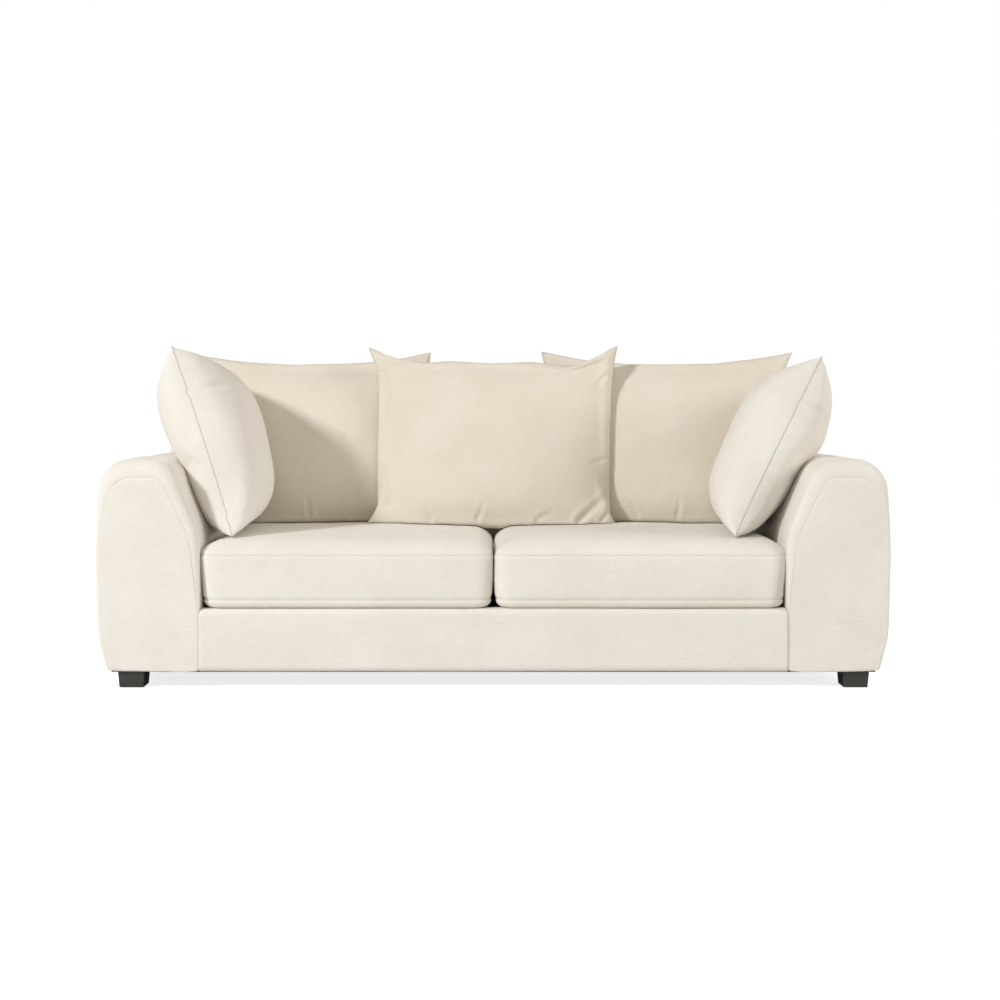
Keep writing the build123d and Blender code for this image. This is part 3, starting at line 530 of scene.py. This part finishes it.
def sew_boxing(piece, low, high):
    """Draws in the cloth along the boxing's two seams, and puckers it slightly beside them."""
    piece.data.update()
    points = vertex_array(piece)
    centre, half = (low + high) / 2, (high - low) / 2
    for i, v in enumerate(piece.data.vertices):
        p = v.co
        edge = max(abs(p.x - centre.x) - (half.x - 60 * MM), abs(p.y - centre.y) - (half.y - 60 * MM))
        if edge < 0:
            continue
        for seam in (LOWER_SEAM, UPPER_SEAM):
            off = p.z - seam
            pull = SEAM_PULL * math.exp(-((off / (4.5 * MM)) ** 2))
            pucker = noise.noise(Vector((p.x / 0.028, p.y / 0.028, seam * 9))) * PUCKER
            pucker *= math.exp(-((off / (22 * MM)) ** 2))
            points[i] -= np.array(v.normal) * (pull + pucker)
    set_vertices(piece, points)


STITCH = 3.85                  # mm, with its gap


# The fold where the panels meet, with its stitches drawn down into the cloth: a fine line whose stitch
# pattern is real and whose darker colour is painted shade of the fold.
def stitch_and_shade_material():
    made, tree, out = new_material("seam_stitches_and_shade")
    place = node(tree, "ShaderNodeTexCoord").outputs["Object"]
    stitches = node(tree, "ShaderNodeTexNoise", {"Vector": place}, Scale=1000 / STITCH, Detail=1.0).outputs[0]
    colour = ramp(tree, stitches, (0.35, "#B9B1A2"), (0.65, "#CDC5B7"))
    thread = node(tree, "ShaderNodeBsdfPrincipled", {"Base Color": colour}, Roughness=0.8)
    tree.links.new(thread.outputs[0], out.inputs[0])
    return made


STITCHES_AND_SHADE = stitch_and_shade_material()


def seam_line(name, line, radius=1.0 * MM):
    """A fine closed roll along the seam."""
    points = []
    section = [(math.cos(a) * radius, math.sin(a) * radius) for a in np.linspace(0, 2 * math.pi, 7)[:-1]]
    turns = len(line)
    middle = sum(line, Vector()) / turns
    for i, p in enumerate(line):
        along = (line[(i + 1) % turns] - line[i - 1]).normalized()
        out = (p - middle).normalized()
        side = along.cross(out).normalized()
        out = side.cross(along)
        points += [p + out * a + side * b for a, b in section]
    return new_piece(name, points, ring_faces(turns, len(section), endless=True), STITCHES_AND_SHADE)


ZIP_TOOTH = 6.0                # mm; drawn four times as coarse as the real coil


# Nylon coil zip, moulded and dyed to match: small round teeth that catch a faint highlight. Its colour is
# painted lighter on each tooth's crest and darker in the gaps between them, a painted highlight and painted
# shade over one dyed nylon.
def zip_material():
    made, tree, out = new_material("zip_nylon")
    place = node(tree, "ShaderNodeTexCoord").outputs["Object"]
    teeth = node(tree, "ShaderNodeTexWave", {"Vector": place}, Scale=1000 / ZIP_TOOTH, Distortion=0.0)
    colour = ramp(tree, teeth.outputs[0], (0.2, "#CFC6B4"), (0.8, "#E3DBCB"))
    bump = node(tree, "ShaderNodeBump", {"Height": teeth.outputs[0]}, Strength=0.6, Distance=0.4 * MM)
    nylon = node(tree, "ShaderNodeBsdfPrincipled", {"Base Color": colour, "Normal": bump.outputs[0]},
                 Roughness=0.42)
    tree.links.new(nylon.outputs[0], out.inputs[0])
    return made


ZIP = zip_material()


def dress(names, material):
    """Gives carried-over CAD nodes a finish."""
    for name in names:
        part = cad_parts[name]
        part.data.materials.clear()
        part.data.materials.append(material)
        for face in part.data.polygons:
            face.material_index = 0


seat_cushions = {}
for name, seed in (("left", 41.0), ("right", 52.0)):
    low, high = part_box(f"seat_cushion_{name}_cover")
    points, faces, seams = seat_cushion_mesh(low, high)
    cushion = new_piece(f"seat_cushion_{name}_sewn", points, faces, LINEN)
    subdivide(cushion)
    sew_boxing(cushion, low, high)
    ruffle(cushion, 4.5 * MM, (0.22, 0.20, 0.30), seed, lambda p: smoothstep(low.z, low.z + 0.05, p.z))
    ruffle(cushion, 1.3 * MM, (0.05, 0.05, 0.10), seed + 5, lambda p: smoothstep(low.z, low.z + 0.05, p.z))
    for at, seam in zip(("lower", "upper"), seams):
        line = [cushion.data.vertices[i].co.copy() for i in seam]
        stitched = seam_line(f"seat_cushion_{name}_{at}_seam", line, 0.5 * MM)
        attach(stitched, f"seat_cushion_{name}")
    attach(cushion, f"seat_cushion_{name}")
    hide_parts(f"seat_cushion_{name}_cover", f"seat_cushion_{name}_foam")
    seat_cushions[name] = cushion
dress(["seat_cushion_left_zip", "seat_cushion_right_zip"], ZIP)

# ---- pillows -----------------------------------------------------------------------------------
# Knife-edge covers of the same linen: two panels sewn together round the edge, with a zip along the
# bottom, over a feather and fibre filling. The filling rounds them out and leaves their corners as ears.
PANEL_STEP = 11 * MM
CLOTH_EASE = 0.03              # the cover is cut this much larger than its filling
MOST_MOVE = 14 * MM
CLOTH_FRAMES = 20
ACROSS = 2.6                   # how squarely the filling fills the width
ROUNDNESS = 0.52               # of the section: 0.5 is an ellipse, 1 a lens
LOWER_EARS = 4.5               # the lower corners, pushed into by the filling, draw in over a short way
LUMPS = 0.06                   # unevenness of the filling, as a share of its thickness
FLATTEST = 0.28                # how much flatter the side that leans on something gets


def sewn_panels(width, height):
    """Two panels joined round the edge, with the points of that edge in order."""
    nx, nz = round(width / PANEL_STEP), round(height / PANEL_STEP)
    points, faces, where = [], [], {}
    for side in (-1, 1):
        for j in range(nz + 1):
            for i in range(nx + 1):
                rim = i in (0, nx) or j in (0, nz)
                if rim and side > 0:
                    where[side, i, j] = where[-1, i, j]
                    continue
                where[side, i, j] = len(points)
                x, z = (i / nx - 0.5) * width, (j / nz - 0.5) * height
                points.append((x, 0.0 if rim else side * 6 * MM, z))
    for side in (-1, 1):
        for j in range(nz):
            for i in range(nx):
                face = [where[side, i + right, j + up] for right, up in ((0, 0), (1, 0), (1, 1), (0, 1))]
                faces.append(tuple(face if side < 0 else face[::-1]))
    rim = ([where[-1, i, 0] for i in range(nx)] + [where[-1, nx, j] for j in range(nz)]
           + [where[-1, i, nz] for i in range(nx, 0, -1)] + [where[-1, 0, j] for j in range(nz, 0, -1)])
    return points, faces, rim


def round_out(piece, size, thick, dips, fullness, seed, pressed):
    """Swells the flat panels to a filled shape.

    dips: the shares by which the bottom, right, top and left edges draw in between their corners.
    fullness: how squarely the filling fills the lower half, the upper half and the corners of the edges.
    pressed: the side that leans on something, how full it is, and the heights where it starts and
    ends to grow flatter, downwards.
    """
    width, height = size
    points = vertex_array(piece)
    u, w = points[:, 0] / (width / 2), points[:, 2] / (height / 2)
    below, above, ears = fullness
    bulge = (1 - np.abs(u) ** ACROSS) * (1 - np.abs(w) ** np.where(w < 0, below, above))
    bulge = np.clip(bulge, 0, 1) ** ROUNDNESS
    lumps = [1 + LUMPS * noise.noise(Vector((a * 1.3 + seed, b * 1.3, seed))) for a, b in zip(u, w)]
    leaning_on, full, start, end = pressed
    flatter = np.clip((start - w) / max(start - end, 0.01), 0, 1)
    bulge *= np.where(np.sign(points[:, 1]) == leaning_on, full * (1 - FLATTEST * flatter), 1.0)
    points[:, 1] = np.sign(points[:, 1]) * bulge * np.array(lumps) * thick / 2
    low, right, top, left = dips
    along_u, along_w = 1 - np.abs(u) ** ears, 1 - np.abs(w) ** np.where(w < 0, LOWER_EARS, ears)
    points[:, 0] *= 1 - np.where(u > 0, right, left) * along_w
    points[:, 2] *= 1 - np.where(w > 0, top, low) * along_u
    set_vertices(piece, points)


def stuff(piece):
    """Lets the cover, cut a little larger than its filling, buckle over it under pressure from inside."""
    before = vertex_array(piece)
    cloth = piece.modifiers.new("filling", "CLOTH")
    setting = cloth.settings
    setting.quality = 6
    setting.mass = 0.3
    setting.tension_stiffness = setting.compression_stiffness = 60.0
    setting.shear_stiffness = 20.0
    setting.bending_stiffness = 0.2
    setting.tension_damping = setting.compression_damping = setting.shear_damping = 8.0
    setting.bending_damping = 1.0
    setting.shrink_min = -CLOTH_EASE
    setting.use_pressure = True
    setting.uniform_pressure_force = 2.0
    setting.effector_weights.gravity = 0.0
    cloth.collision_settings.use_collision = False
    scene = bpy.context.scene
    cloth.point_cache.frame_end = CLOTH_FRAMES
    for step in range(1, CLOTH_FRAMES + 1):
        scene.frame_set(step)
    apply_modifiers(piece)
    scene.frame_set(1)
    move = vertex_array(piece) - before
    move -= move.mean(axis=0)
    length = np.maximum(np.linalg.norm(move, axis=1), 1e-6)
    set_vertices(piece, before + move * np.minimum(1, MOST_MOVE / length)[:, None])


def fit_box(points, width, height, thick):
    """Scales the filled shape so that it measures what the finished pillow does."""
    low, high = points.min(axis=0), points.max(axis=0)
    middle = (low + high) / 2
    middle[1] = 0.0
    return (points - middle) * np.array((width, thick, height)) / (high - low)


def pillow(name, cloth, size, corners, thick, dips, fullness, folds, seed, pressed=(0, 1.0, 0.0, 0.0)):
    """A filled pillow standing on its bottom seam, its corners drawn to where its outline has them."""
    width, height = size
    points, faces, rim = sewn_panels(width, height)
    made = new_piece(name, points, faces, cloth)
    round_out(made, size, thick, dips, fullness, seed, pressed)
    stuff(made)
    filled = fit_box(vertex_array(made), width, height, thick)
    u, w = filled[:, 0] / width + 0.5, filled[:, 2] / height + 0.5
    (ax, az), (bx, bz), (cx, cz), (dx, dz) = corners
    x = (ax * (1 - u) + bx * u) * (1 - w) + (dx * (1 - u) + cx * u) * w
    z = (az * (1 - u) + bz * u) * (1 - w) + (dz * (1 - u) + cz * u) * w
    set_vertices(made, np.stack([x, filled[:, 1], z], axis=1))
    return made, rim, folds


def tree_of(piece):
    """A search tree of a piece's faces, for finding what lies inside it."""
    piece.data.update()
    return BVHTree.FromPolygons([v.co.copy() for v in piece.data.vertices],
                                [tuple(p.vertices) for p in piece.data.polygons])


def neighbours_of(piece):
    """Pairs of joined points, for smoothing."""
    edges = np.zeros(len(piece.data.edges) * 2, np.int64)
    piece.data.edges.foreach_get("vertices", edges)
    return edges.reshape(-1, 2)


FORWARD = Vector((0, -1, 0))


def settle(piece, trees, gap=1.0 * MM, rounds=4):
    """Flattens a soft piece on the seats, the leaning back and its neighbours.

    Each round but the last also eases the cloth round what has moved.
    """
    edges = neighbours_of(piece)
    count = np.bincount(edges.ravel(), minlength=len(piece.data.vertices))[:, None]
    points = vertex_array(piece)
    for turn in range(rounds):
        before = points.copy()
        behind = (points[:, 1] + gap - lean_y(points[:, 2])) * math.cos(LEAN)
        behind = np.where((points[:, 2] < INNER_HIGH.z) & (behind > 0), behind, 0.0)
        points[:, 1] -= behind * math.cos(LEAN)
        points[:, 2] += behind * math.sin(LEAN)
        for i in np.flatnonzero(points[:, 2] < SEAT_TOP + 2 * MM):
            x, y, z = points[i]
            hits = [tree.ray_cast(Vector((x, y, 1.2)), Vector((0, 0, -1)))[0] for tree in seat_trees]
            top = max([h.z for h in hits if h is not None] + [SEAT_TOP - 16 * MM])
            points[i, 2] = max(z, top + gap)
        for tree, low, high, soft in trees:
            near = np.all((points > low) & (points < high), axis=1)
            for i in np.flatnonzero(near):
                at = Vector(points[i])
                ahead, facing, _, _ = tree.ray_cast(at, FORWARD)
                if ahead is None or facing.dot(FORWARD) < 0:
                    continue
                if soft:
                    points[i] = ahead + FORWARD * gap
                else:
                    spot, normal, _, _ = tree.find_nearest(at)
                    points[i] = spot + normal * gap
        if turn == rounds - 1:
            break
        near = (np.linalg.norm(points - before, axis=1) > 0.01 * MM).astype(float)
        for _ in range(3):
            spread = near.copy()
            np.maximum.at(spread, edges[:, 0], near[edges[:, 1]] * 0.75)
            np.maximum.at(spread, edges[:, 1], near[edges[:, 0]] * 0.75)
            near = spread
        for _ in range(2):
            around = np.zeros_like(points)
            np.add.at(around, edges[:, 0], points[edges[:, 1]])
            np.add.at(around, edges[:, 1], points[edges[:, 0]])
            points += 0.5 * near[:, None] * (around / count - points)
    set_vertices(piece, points)


def fold(piece, start, end, depth, width):
    """Presses a short groove into the front panel, fading out from start to end, with a lip each side."""
    points = vertex_array(piece)
    flat = points[:, [0, 2]]
    along = np.array(end) - np.array(start)
    length = np.linalg.norm(along)
    along /= length
    reach = flat - np.array(start)
    t = np.clip(reach @ along / length, 0, 1)
    off = np.linalg.norm(reach - t[:, None] * along * length, axis=1) / width
    groove = np.exp(-off ** 2) - 0.45 * np.exp(-((off - 1.9) / 0.8) ** 2)
    front = (points[:, 1] < 0) & (off < 5)
    points[:, 1] += np.where(front, depth * groove * (1 - 0.85 * t), 0.0)
    set_vertices(piece, points)


def finish_pillow(made, name, place, trees, zip_reach, seed):
    """Stands a pillow in its place, lets it settle, works its seam and adds the zip."""
    piece, rim, folds = made
    sewn = {frozenset(pair) for pair in zip(rim, rim[1:] + rim[:1])}
    rim_edges = [e.index for e in piece.data.edges if frozenset(e.vertices) in sewn]
    crease = piece.data.attributes.new("crease_edge", "FLOAT", "EDGE")
    sharp = np.zeros(len(piece.data.edges))
    sharp[rim_edges] = 0.7
    crease.data.foreach_set("value", sharp)
    subdivide(piece)
    ruffle(piece, 3.0 * MM, (0.12, 0.12, 0.15), seed)
    ruffle(piece, 1.0 * MM, (0.045, 0.045, 0.05), seed + 3)
    for start, end, depth, width in folds:
        fold(piece, start, end, depth, width)
    zipped = bottom_seam(piece, rim, zip_reach)
    piece.data.transform(place)
    settle(piece, trees)
    line = [piece.data.vertices[i].co + Vector((0, 0, 0.6 * MM)) for i in zipped]
    closing = zip_strip(f"{name}_zip_sewn", line)
    stitched = seam_line(f"{name}_seam_sewn", [piece.data.vertices[i].co.copy() for i in rim])
    for part in (piece, closing, stitched):
        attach(part, name)
    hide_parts(f"{name}_cover", f"{name}_filling")
    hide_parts(f"{name}_zip")


def bottom_seam(piece, rim, reach):
    """Which points of the rim are the middle stretch of the bottom seam."""
    points = vertex_array(piece)[rim]
    middle = (points[:, 0].min() + points[:, 0].max()) / 2
    half_way = points[:, 2].max() / 2
    return [i for i, (x, _, z) in zip(rim, points) if z < half_way and abs(x - middle) < reach]


def zip_strip(name, line):
    """A closed coil zip: a rounded strip along a line, with its slider at one end."""
    rings = []
    section = [(math.cos(a) * 3 * MM, math.sin(a) * 1.1 * MM) for a in np.linspace(0, 2 * math.pi, 9)[:-1]]
    for i, p in enumerate(line):
        along = (line[min(i + 1, len(line) - 1)] - line[max(i - 1, 0)]).normalized()
        side = along.cross(Vector((0, 0, 1))).normalized()
        up = side.cross(along)
        swell = 1.6 if i in (2, 3) else 1.0     # the slider
        rings.append([p + (side * a + up * b) * swell for a, b in section])
    return new_piece(name, *capped_rings(rings), ZIP)


def against(*pieces):
    """A search tree and a box for each piece that a pillow may meet."""
    boxes = [vertex_array(p) for p in pieces]
    return [(tree_of(p), b.min(axis=0), b.max(axis=0), "pillow" in p.name) for p, b in zip(pieces, boxes)]


PILLOW_THICK = 195 * MM
SEAT_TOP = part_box("seat_cushion_left_cover")[1].z
frame_arms = [bpy.data.objects["arm_cover_left_sewn"], bpy.data.objects["arm_cover_right_sewn"]]
seat_trees = [tree_of(cushion) for cushion in seat_cushions.values()]
rest_y = lean_y(SEAT_TOP) - PILLOW_THICK / 2 / math.cos(LEAN)
leaning = Matrix.Rotation(-LEAN, 4, "X")
SAG = 26 * MM                  # how far the filling's weight presses the underside flat on the seat
rest = Matrix.Translation((0, rest_y, SEAT_TOP - SAG)) @ leaning

low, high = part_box("back_pillow_right_cover")
BACK_PILLOW_HEIGHT = 576 * MM + SAG
tucked = WELL_HALF - 4 * MM    # the outer bottom corner, pressed in by the arm
back_pillows = {}
for name, side, inner_ear, outer_ear, seed in (("left", -1, -8, 40, 61.0), ("right", 1, 40, 6, 75.0)):
    corners = [(low.x, 0), (tucked, 0), (high.x + outer_ear * MM, BACK_PILLOW_HEIGHT),
               (low.x - inner_ear * MM, BACK_PILLOW_HEIGHT)]
    if side < 0:
        corners = [(-x, z) for x, z in (corners[1], corners[0], corners[3], corners[2])]
    # each fold: where on the front panel it starts and ends, across and up, then its depth and width
    folds = [((side * 0.60, 0.03), (side * 0.605, 0.085), 5.5 * MM, 8 * MM),
             ((side * 0.47, 0.03), (side * 0.45, 0.075), 5 * MM, 7 * MM),
             ((side * 0.33, 0.55), (side * 0.34, 0.50), 4 * MM, 7 * MM)]
    made = pillow(f"back_pillow_{name}_sewn", PAINTED_SHADE_LINEN, (high.x - low.x, BACK_PILLOW_HEIGHT), corners,
                  PILLOW_THICK, (0.02, 0.06, 0.167, 0.06), (4.5, 2.6, 2.4), folds, seed)
    finish_pillow(made, f"back_pillow_{name}", rest, against(*frame_arms), 190 * MM, seed)
    back_pillows[name] = made[0]

CENTRE_STEP = 105 * MM         # how far it stands in front of the back pillows
CENTRE_HEIGHT = 594 * MM + SAG
low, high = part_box("centre_pillow_cover")
corners = [(low.x - 20 * MM, 0), (high.x + 6 * MM, 0), (high.x + 27 * MM, CENTRE_HEIGHT),
           (low.x - 18 * MM, CENTRE_HEIGHT)]
folds = [((-0.050, 0.035), (-0.030, 0.080), 6.5 * MM, 8 * MM),
         ((0.140, 0.03), (0.185, 0.055), 6.5 * MM, 8 * MM),
         ((0.275, 0.03), (0.365, 0.110), 12 * MM, 10 * MM),
         ((0.345, 0.03), (0.378, 0.070), 8 * MM, 6 * MM),
         ((0.360, 0.235), (0.300, 0.205), 5 * MM, 7 * MM),
         ((-0.200, 0.03), (-0.215, 0.075), 5 * MM, 8 * MM),
         ((-0.365, 0.52), (-0.330, 0.49), 5 * MM, 7 * MM),
         ((0.365, 0.51), (0.335, 0.47), 5 * MM, 7 * MM)]
centre = pillow("centre_pillow_sewn", PAINTED_SHADE_LINEN, (high.x - low.x, CENTRE_HEIGHT), corners, PILLOW_THICK,
                (0.02, 0.095, 0.197, 0.095), (4.5, 2.8, 2.4), folds, 83.0)
forward = Matrix.Translation((0, -CENTRE_STEP / math.cos(LEAN), 0)) @ rest
finish_pillow(centre, "centre_pillow", forward, against(*back_pillows.values()), 240 * MM, 83.0)

SIDE_LENGTH, SIDE_HEIGHT = 535 * MM, 586 * MM
SIDE_SHIFT, SIDE_SAG = 70 * MM, 42 * MM     # its top lies further back, and its rear corner lower
SIDE_SINK = 7 * MM                          # how far its bottom seam presses into the seat
SIDE_EDGE = 13 * MM                         # half the thickness of its edge, which lifts as it leans
SIDE_YAW = math.radians(6.5)
SIDE_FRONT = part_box("seat_cushion_left_cover")[0].y + 60 * MM
for name, side, inset, lean, thick, pressed, seed in (
        ("left", -1, 83, 17.8, 292 * MM, (1, 0.75, 0.85, -0.2), 91.0),
        ("right", 1, 141, 26.0, 275 * MM, (-1, 1.0, 0.3, -0.2), 107.0)):
    lean = math.radians(lean)
    x = WELL_HALF - inset * MM
    corners = [(0, 0), (SIDE_LENGTH, 0), (SIDE_LENGTH + SIDE_SHIFT, SIDE_HEIGHT - SIDE_SAG),
               (SIDE_SHIFT, SIDE_HEIGHT)]
    folds = [((SIDE_SHIFT, 0.44), (0.13, 0.43), 6 * MM, 9 * MM),
             ((0.02, 0.05), (0.07, 0.075), 4 * MM, 8 * MM)]
    made = pillow(f"side_pillow_{name}_sewn", LINEN, (SIDE_LENGTH, SIDE_HEIGHT), corners, thick,
                  (0.03, 0.08, 0.14, 0.04), (3.4, 3.1, 2.2), folds, seed, pressed)
    turned = (Matrix.Rotation(-side * SIDE_YAW, 4, "Z") @ Matrix.Rotation(side * lean, 4, "Y")
              @ Matrix.Rotation(math.pi / 2, 4, "Z"))
    low_z = SEAT_TOP - SIDE_SINK + SIDE_EDGE * math.sin(lean)
    place = Matrix.Translation((side * x, SIDE_FRONT, low_z)) @ turned
    finish_pillow(made, f"side_pillow_{name}", place,
                  against(*frame_arms, back_pillows[name]), 160 * MM, seed)

# ---- feet --------------------------------------------------------------------------------------
# Short tapered blocks of solid hardwood, sawn, eased at the edges and stained black under a thin
# satin lacquer, so that the grain still shows as fine lines. Each screws up into the base board.


def timber(name, light, dark, grain, roughness, axis="X", coat=0.0):
    """Wood with its grain along one axis: broad growth bands and fine pores."""
    made, tree, out = new_material(name)
    place = node(tree, "ShaderNodeTexCoord").outputs["Object"]
    long_, wide = 1000 / (grain * 30), 1000 / grain
    scale = {"X": (long_, wide, wide), "Y": (wide, long_, wide), "Z": (wide, wide, long_)}[axis]
    at = node(tree, "ShaderNodeMapping", {"Vector": place}, Scale=scale).outputs[0]
    pores = node(tree, "ShaderNodeTexNoise", {"Vector": at}, Scale=1.0, Detail=5.0, Roughness=0.65)
    pores = pores.outputs[0]
    # growth bands, five or six grains wide
    bands = node(tree, "ShaderNodeTexNoise", {"Vector": at}, Scale=0.18, Detail=2.0, Distortion=0.8)
    bands = bands.outputs[0]
    colour = ramp(tree, pores, (0.32, dark), (0.68, light))
    tone = ramp(tree, bands, (0.35, dark), (0.65, light))
    colour = node(tree, "ShaderNodeMix", {6: colour, 7: tone}, data_type="RGBA", Factor=0.4).outputs[2]
    bump = node(tree, "ShaderNodeBump", {"Height": pores}, Strength=0.4, Distance=0.3 * MM).outputs[0]
    wood = node(tree, "ShaderNodeBsdfPrincipled", {"Base Color": colour, "Normal": bump}, Roughness=roughness,
                Coat_Weight=coat, Coat_Roughness=0.3)
    tree.links.new(wood.outputs[0], out.inputs[0])
    return made


STAINED = timber("black_stained_wood", "#3A3833", "#232220", 1.4, 0.45, "X", 0.2)
dress([f"foot_{row}_{side}" for row in ("front", "rear") for side in ("left", "right")], STAINED)

# ---- inside the frame and underneath -----------------------------------------------------------
# Planed pine rails and posts, sanded birch plywood boards, sinuous springs of oiled spring steel
# held by steel clips, zinc-plated bolts and plates, moulded nylon glides, and black polypropylene
# cloth over the springs and under the body.
PINE = timber("pine", "#E6CFA4", "#C69F6B", 4.0, 0.6)
PLYWOOD = timber("plywood", "#DCC39A", "#BC9A6A", 6.0, 0.62, "Z")
dress(["arm_rails_left", "arm_rails_right", "back_bottom_rail", "back_posts", "back_top_rail", "centre_rail",
       "corner_blocks", "front_rail", "rear_rail", "side_rails"], PINE)
dress(["arm_base_boards", "arm_boards_left", "arm_boards_right", "back_base_board"], PLYWOOD)


def metal(name, light, dark, roughness, grit):
    """Drawn or plated steel, faintly mottled."""
    made, tree, out = new_material(name)
    place = node(tree, "ShaderNodeTexCoord").outputs["Object"]
    spots = node(tree, "ShaderNodeTexNoise", {"Vector": place}, Scale=1000 / grit, Detail=3.0).outputs[0]
    colour = ramp(tree, spots, (0.35, dark), (0.65, light))
    rough = node(tree, "ShaderNodeMapRange", {0: spots}, To_Min=roughness - 0.06, To_Max=roughness + 0.08)
    steel = node(tree, "ShaderNodeBsdfPrincipled", {"Base Color": colour, "Roughness": rough.outputs[0]},
                 Metallic=1.0)
    tree.links.new(steel.outputs[0], out.inputs[0])
    return made


dress(["seat_springs", "spring_clips", "spring_tie_wires"],
      metal("spring_steel", "#8E8C88", "#5E5C58", 0.35, 9.0))
dress(["foot_plates", "foot_hanger_bolts", "arm_bolts", "back_bolts"],
      metal("zinc_steel", "#C9CBCC", "#A9ACAE", 0.3, 12.0))


def spun_cloth(name, light, dark, pitch):
    """Non-woven or coarse woven cloth with an embossed dot or rib."""
    made, tree, out = new_material(name)
    place = node(tree, "ShaderNodeTexCoord").outputs["Object"]
    dots = node(tree, "ShaderNodeTexVoronoi", {"Vector": place}, Scale=1000 / pitch, Randomness=0.25)
    dots = dots.outputs[0]
    colour = ramp(tree, dots, (0.1, light), (0.6, dark))
    bump = node(tree, "ShaderNodeBump", {"Height": dots}, Strength=0.5, Distance=0.4 * MM).outputs[0]
    cloth = node(tree, "ShaderNodeBsdfPrincipled", {"Base Color": colour, "Normal": bump}, Roughness=0.85)
    tree.links.new(cloth.outputs[0], out.inputs[0])
    return made


dress(["dust_cover", "seat_decking"], spun_cloth("black_cloth", "#1C1A18", "#0E0D0C", 5.0))
dress(["back_webbing"], spun_cloth("webbing", "#8C7A58", "#6E5D40", 3.0))
dress(["foot_glides"], spun_cloth("glide_plastic", "#2B2A29", "#232221", 2.0))

# ---- studio ------------------------------------------------------------------------------------
# A white paper floor and room, a large soft key high at the front left, and even fill around.


def flat_sheet(name, corners, material):
    made = new_piece(name, corners, [(0, 1, 2, 3)], material)
    return made


paper, tree, out = new_material("white_paper")
grain = node(tree, "ShaderNodeTexNoise", Scale=30.0).outputs[0]
matt = node(tree, "ShaderNodeBsdfDiffuse", {"Color": ramp(tree, grain, (0.3, "#E6E6E6"), (0.7, "#E8E8E8"))})
glow = node(tree, "ShaderNodeEmission", Strength=0.80)
seen = node(tree, "ShaderNodeLightPath").outputs["Is Camera Ray"]
dark = node(tree, "ShaderNodeEmission", Strength=0.0)
glow = node(tree, "ShaderNodeMixShader", {0: seen, 1: dark.outputs[0], 2: glow.outputs[0]})
both = node(tree, "ShaderNodeAddShader", {0: matt.outputs[0], 1: glow.outputs[0]})
tree.links.new(both.outputs[0], out.inputs[0])
flat_sheet("floor", [(-12, -9, 0), (12, -9, 0), (12, 7, 0), (-12, 7, 0)], paper)

world = bpy.data.worlds.new("room")
bpy.context.scene.world = world
world.use_nodes = True
tree = world.node_tree
tree.nodes.clear()
path = node(tree, "ShaderNodeLightPath")
seen = node(tree, "ShaderNodeMath", {0: path.outputs["Is Camera Ray"], 1: path.outputs["Is Glossy Ray"]},
            operation="MAXIMUM")
seen = node(tree, "ShaderNodeMath", {0: seen.outputs[0], 1: path.outputs["Is Transmission Ray"]},
            operation="MAXIMUM")
fill = node(tree, "ShaderNodeBackground", Color=(1.0, 0.925, 0.835, 1.0), Strength=0.46)
white = node(tree, "ShaderNodeBackground", Color=(1.0, 1.0, 1.0, 1.0), Strength=1.0)
both = node(tree, "ShaderNodeMixShader", {0: seen.outputs[0], 1: fill.outputs[0], 2: white.outputs[0]})
tree.links.new(both.outputs[0], node(tree, "ShaderNodeOutputWorld").inputs[0])


def lamp(name, at, towards, size, power, colour):
    """A square area lamp facing a point."""
    data = bpy.data.lights.new(name, "AREA")
    data.size, data.energy, data.color = size, power, colour
    made = bpy.data.objects.new(name, data)
    made.location = at
    made.rotation_euler = (Vector(towards) - Vector(at)).to_track_quat("-Z", "Y").to_euler()
    bpy.context.scene.collection.objects.link(made)
    return made


lamp("key", (-6.5, -6.5, 5.0), (0.0, 0, 0.4), 1.1, 558, (0.972, 0.985, 1.0))
lamp("fill", (7.2, -2.2, 3.2), (0.0, 0, 0.4), 3.0, 190, (1.0, 0.975, 0.94))

eye = bpy.data.cameras.new("eye")
eye.sensor_width = 36.0
eye.lens = 53.1
eye.shift_x, eye.shift_y = 0.0065, -0.097
camera = bpy.data.objects.new("eye", eye)
camera.location = (0.0, -4.70, 0.817)
camera.rotation_euler = (math.pi / 2, 0, 0)
bpy.context.scene.collection.objects.link(camera)
bpy.context.scene.camera = camera
bpy.context.scene.view_settings.view_transform = "Standard"
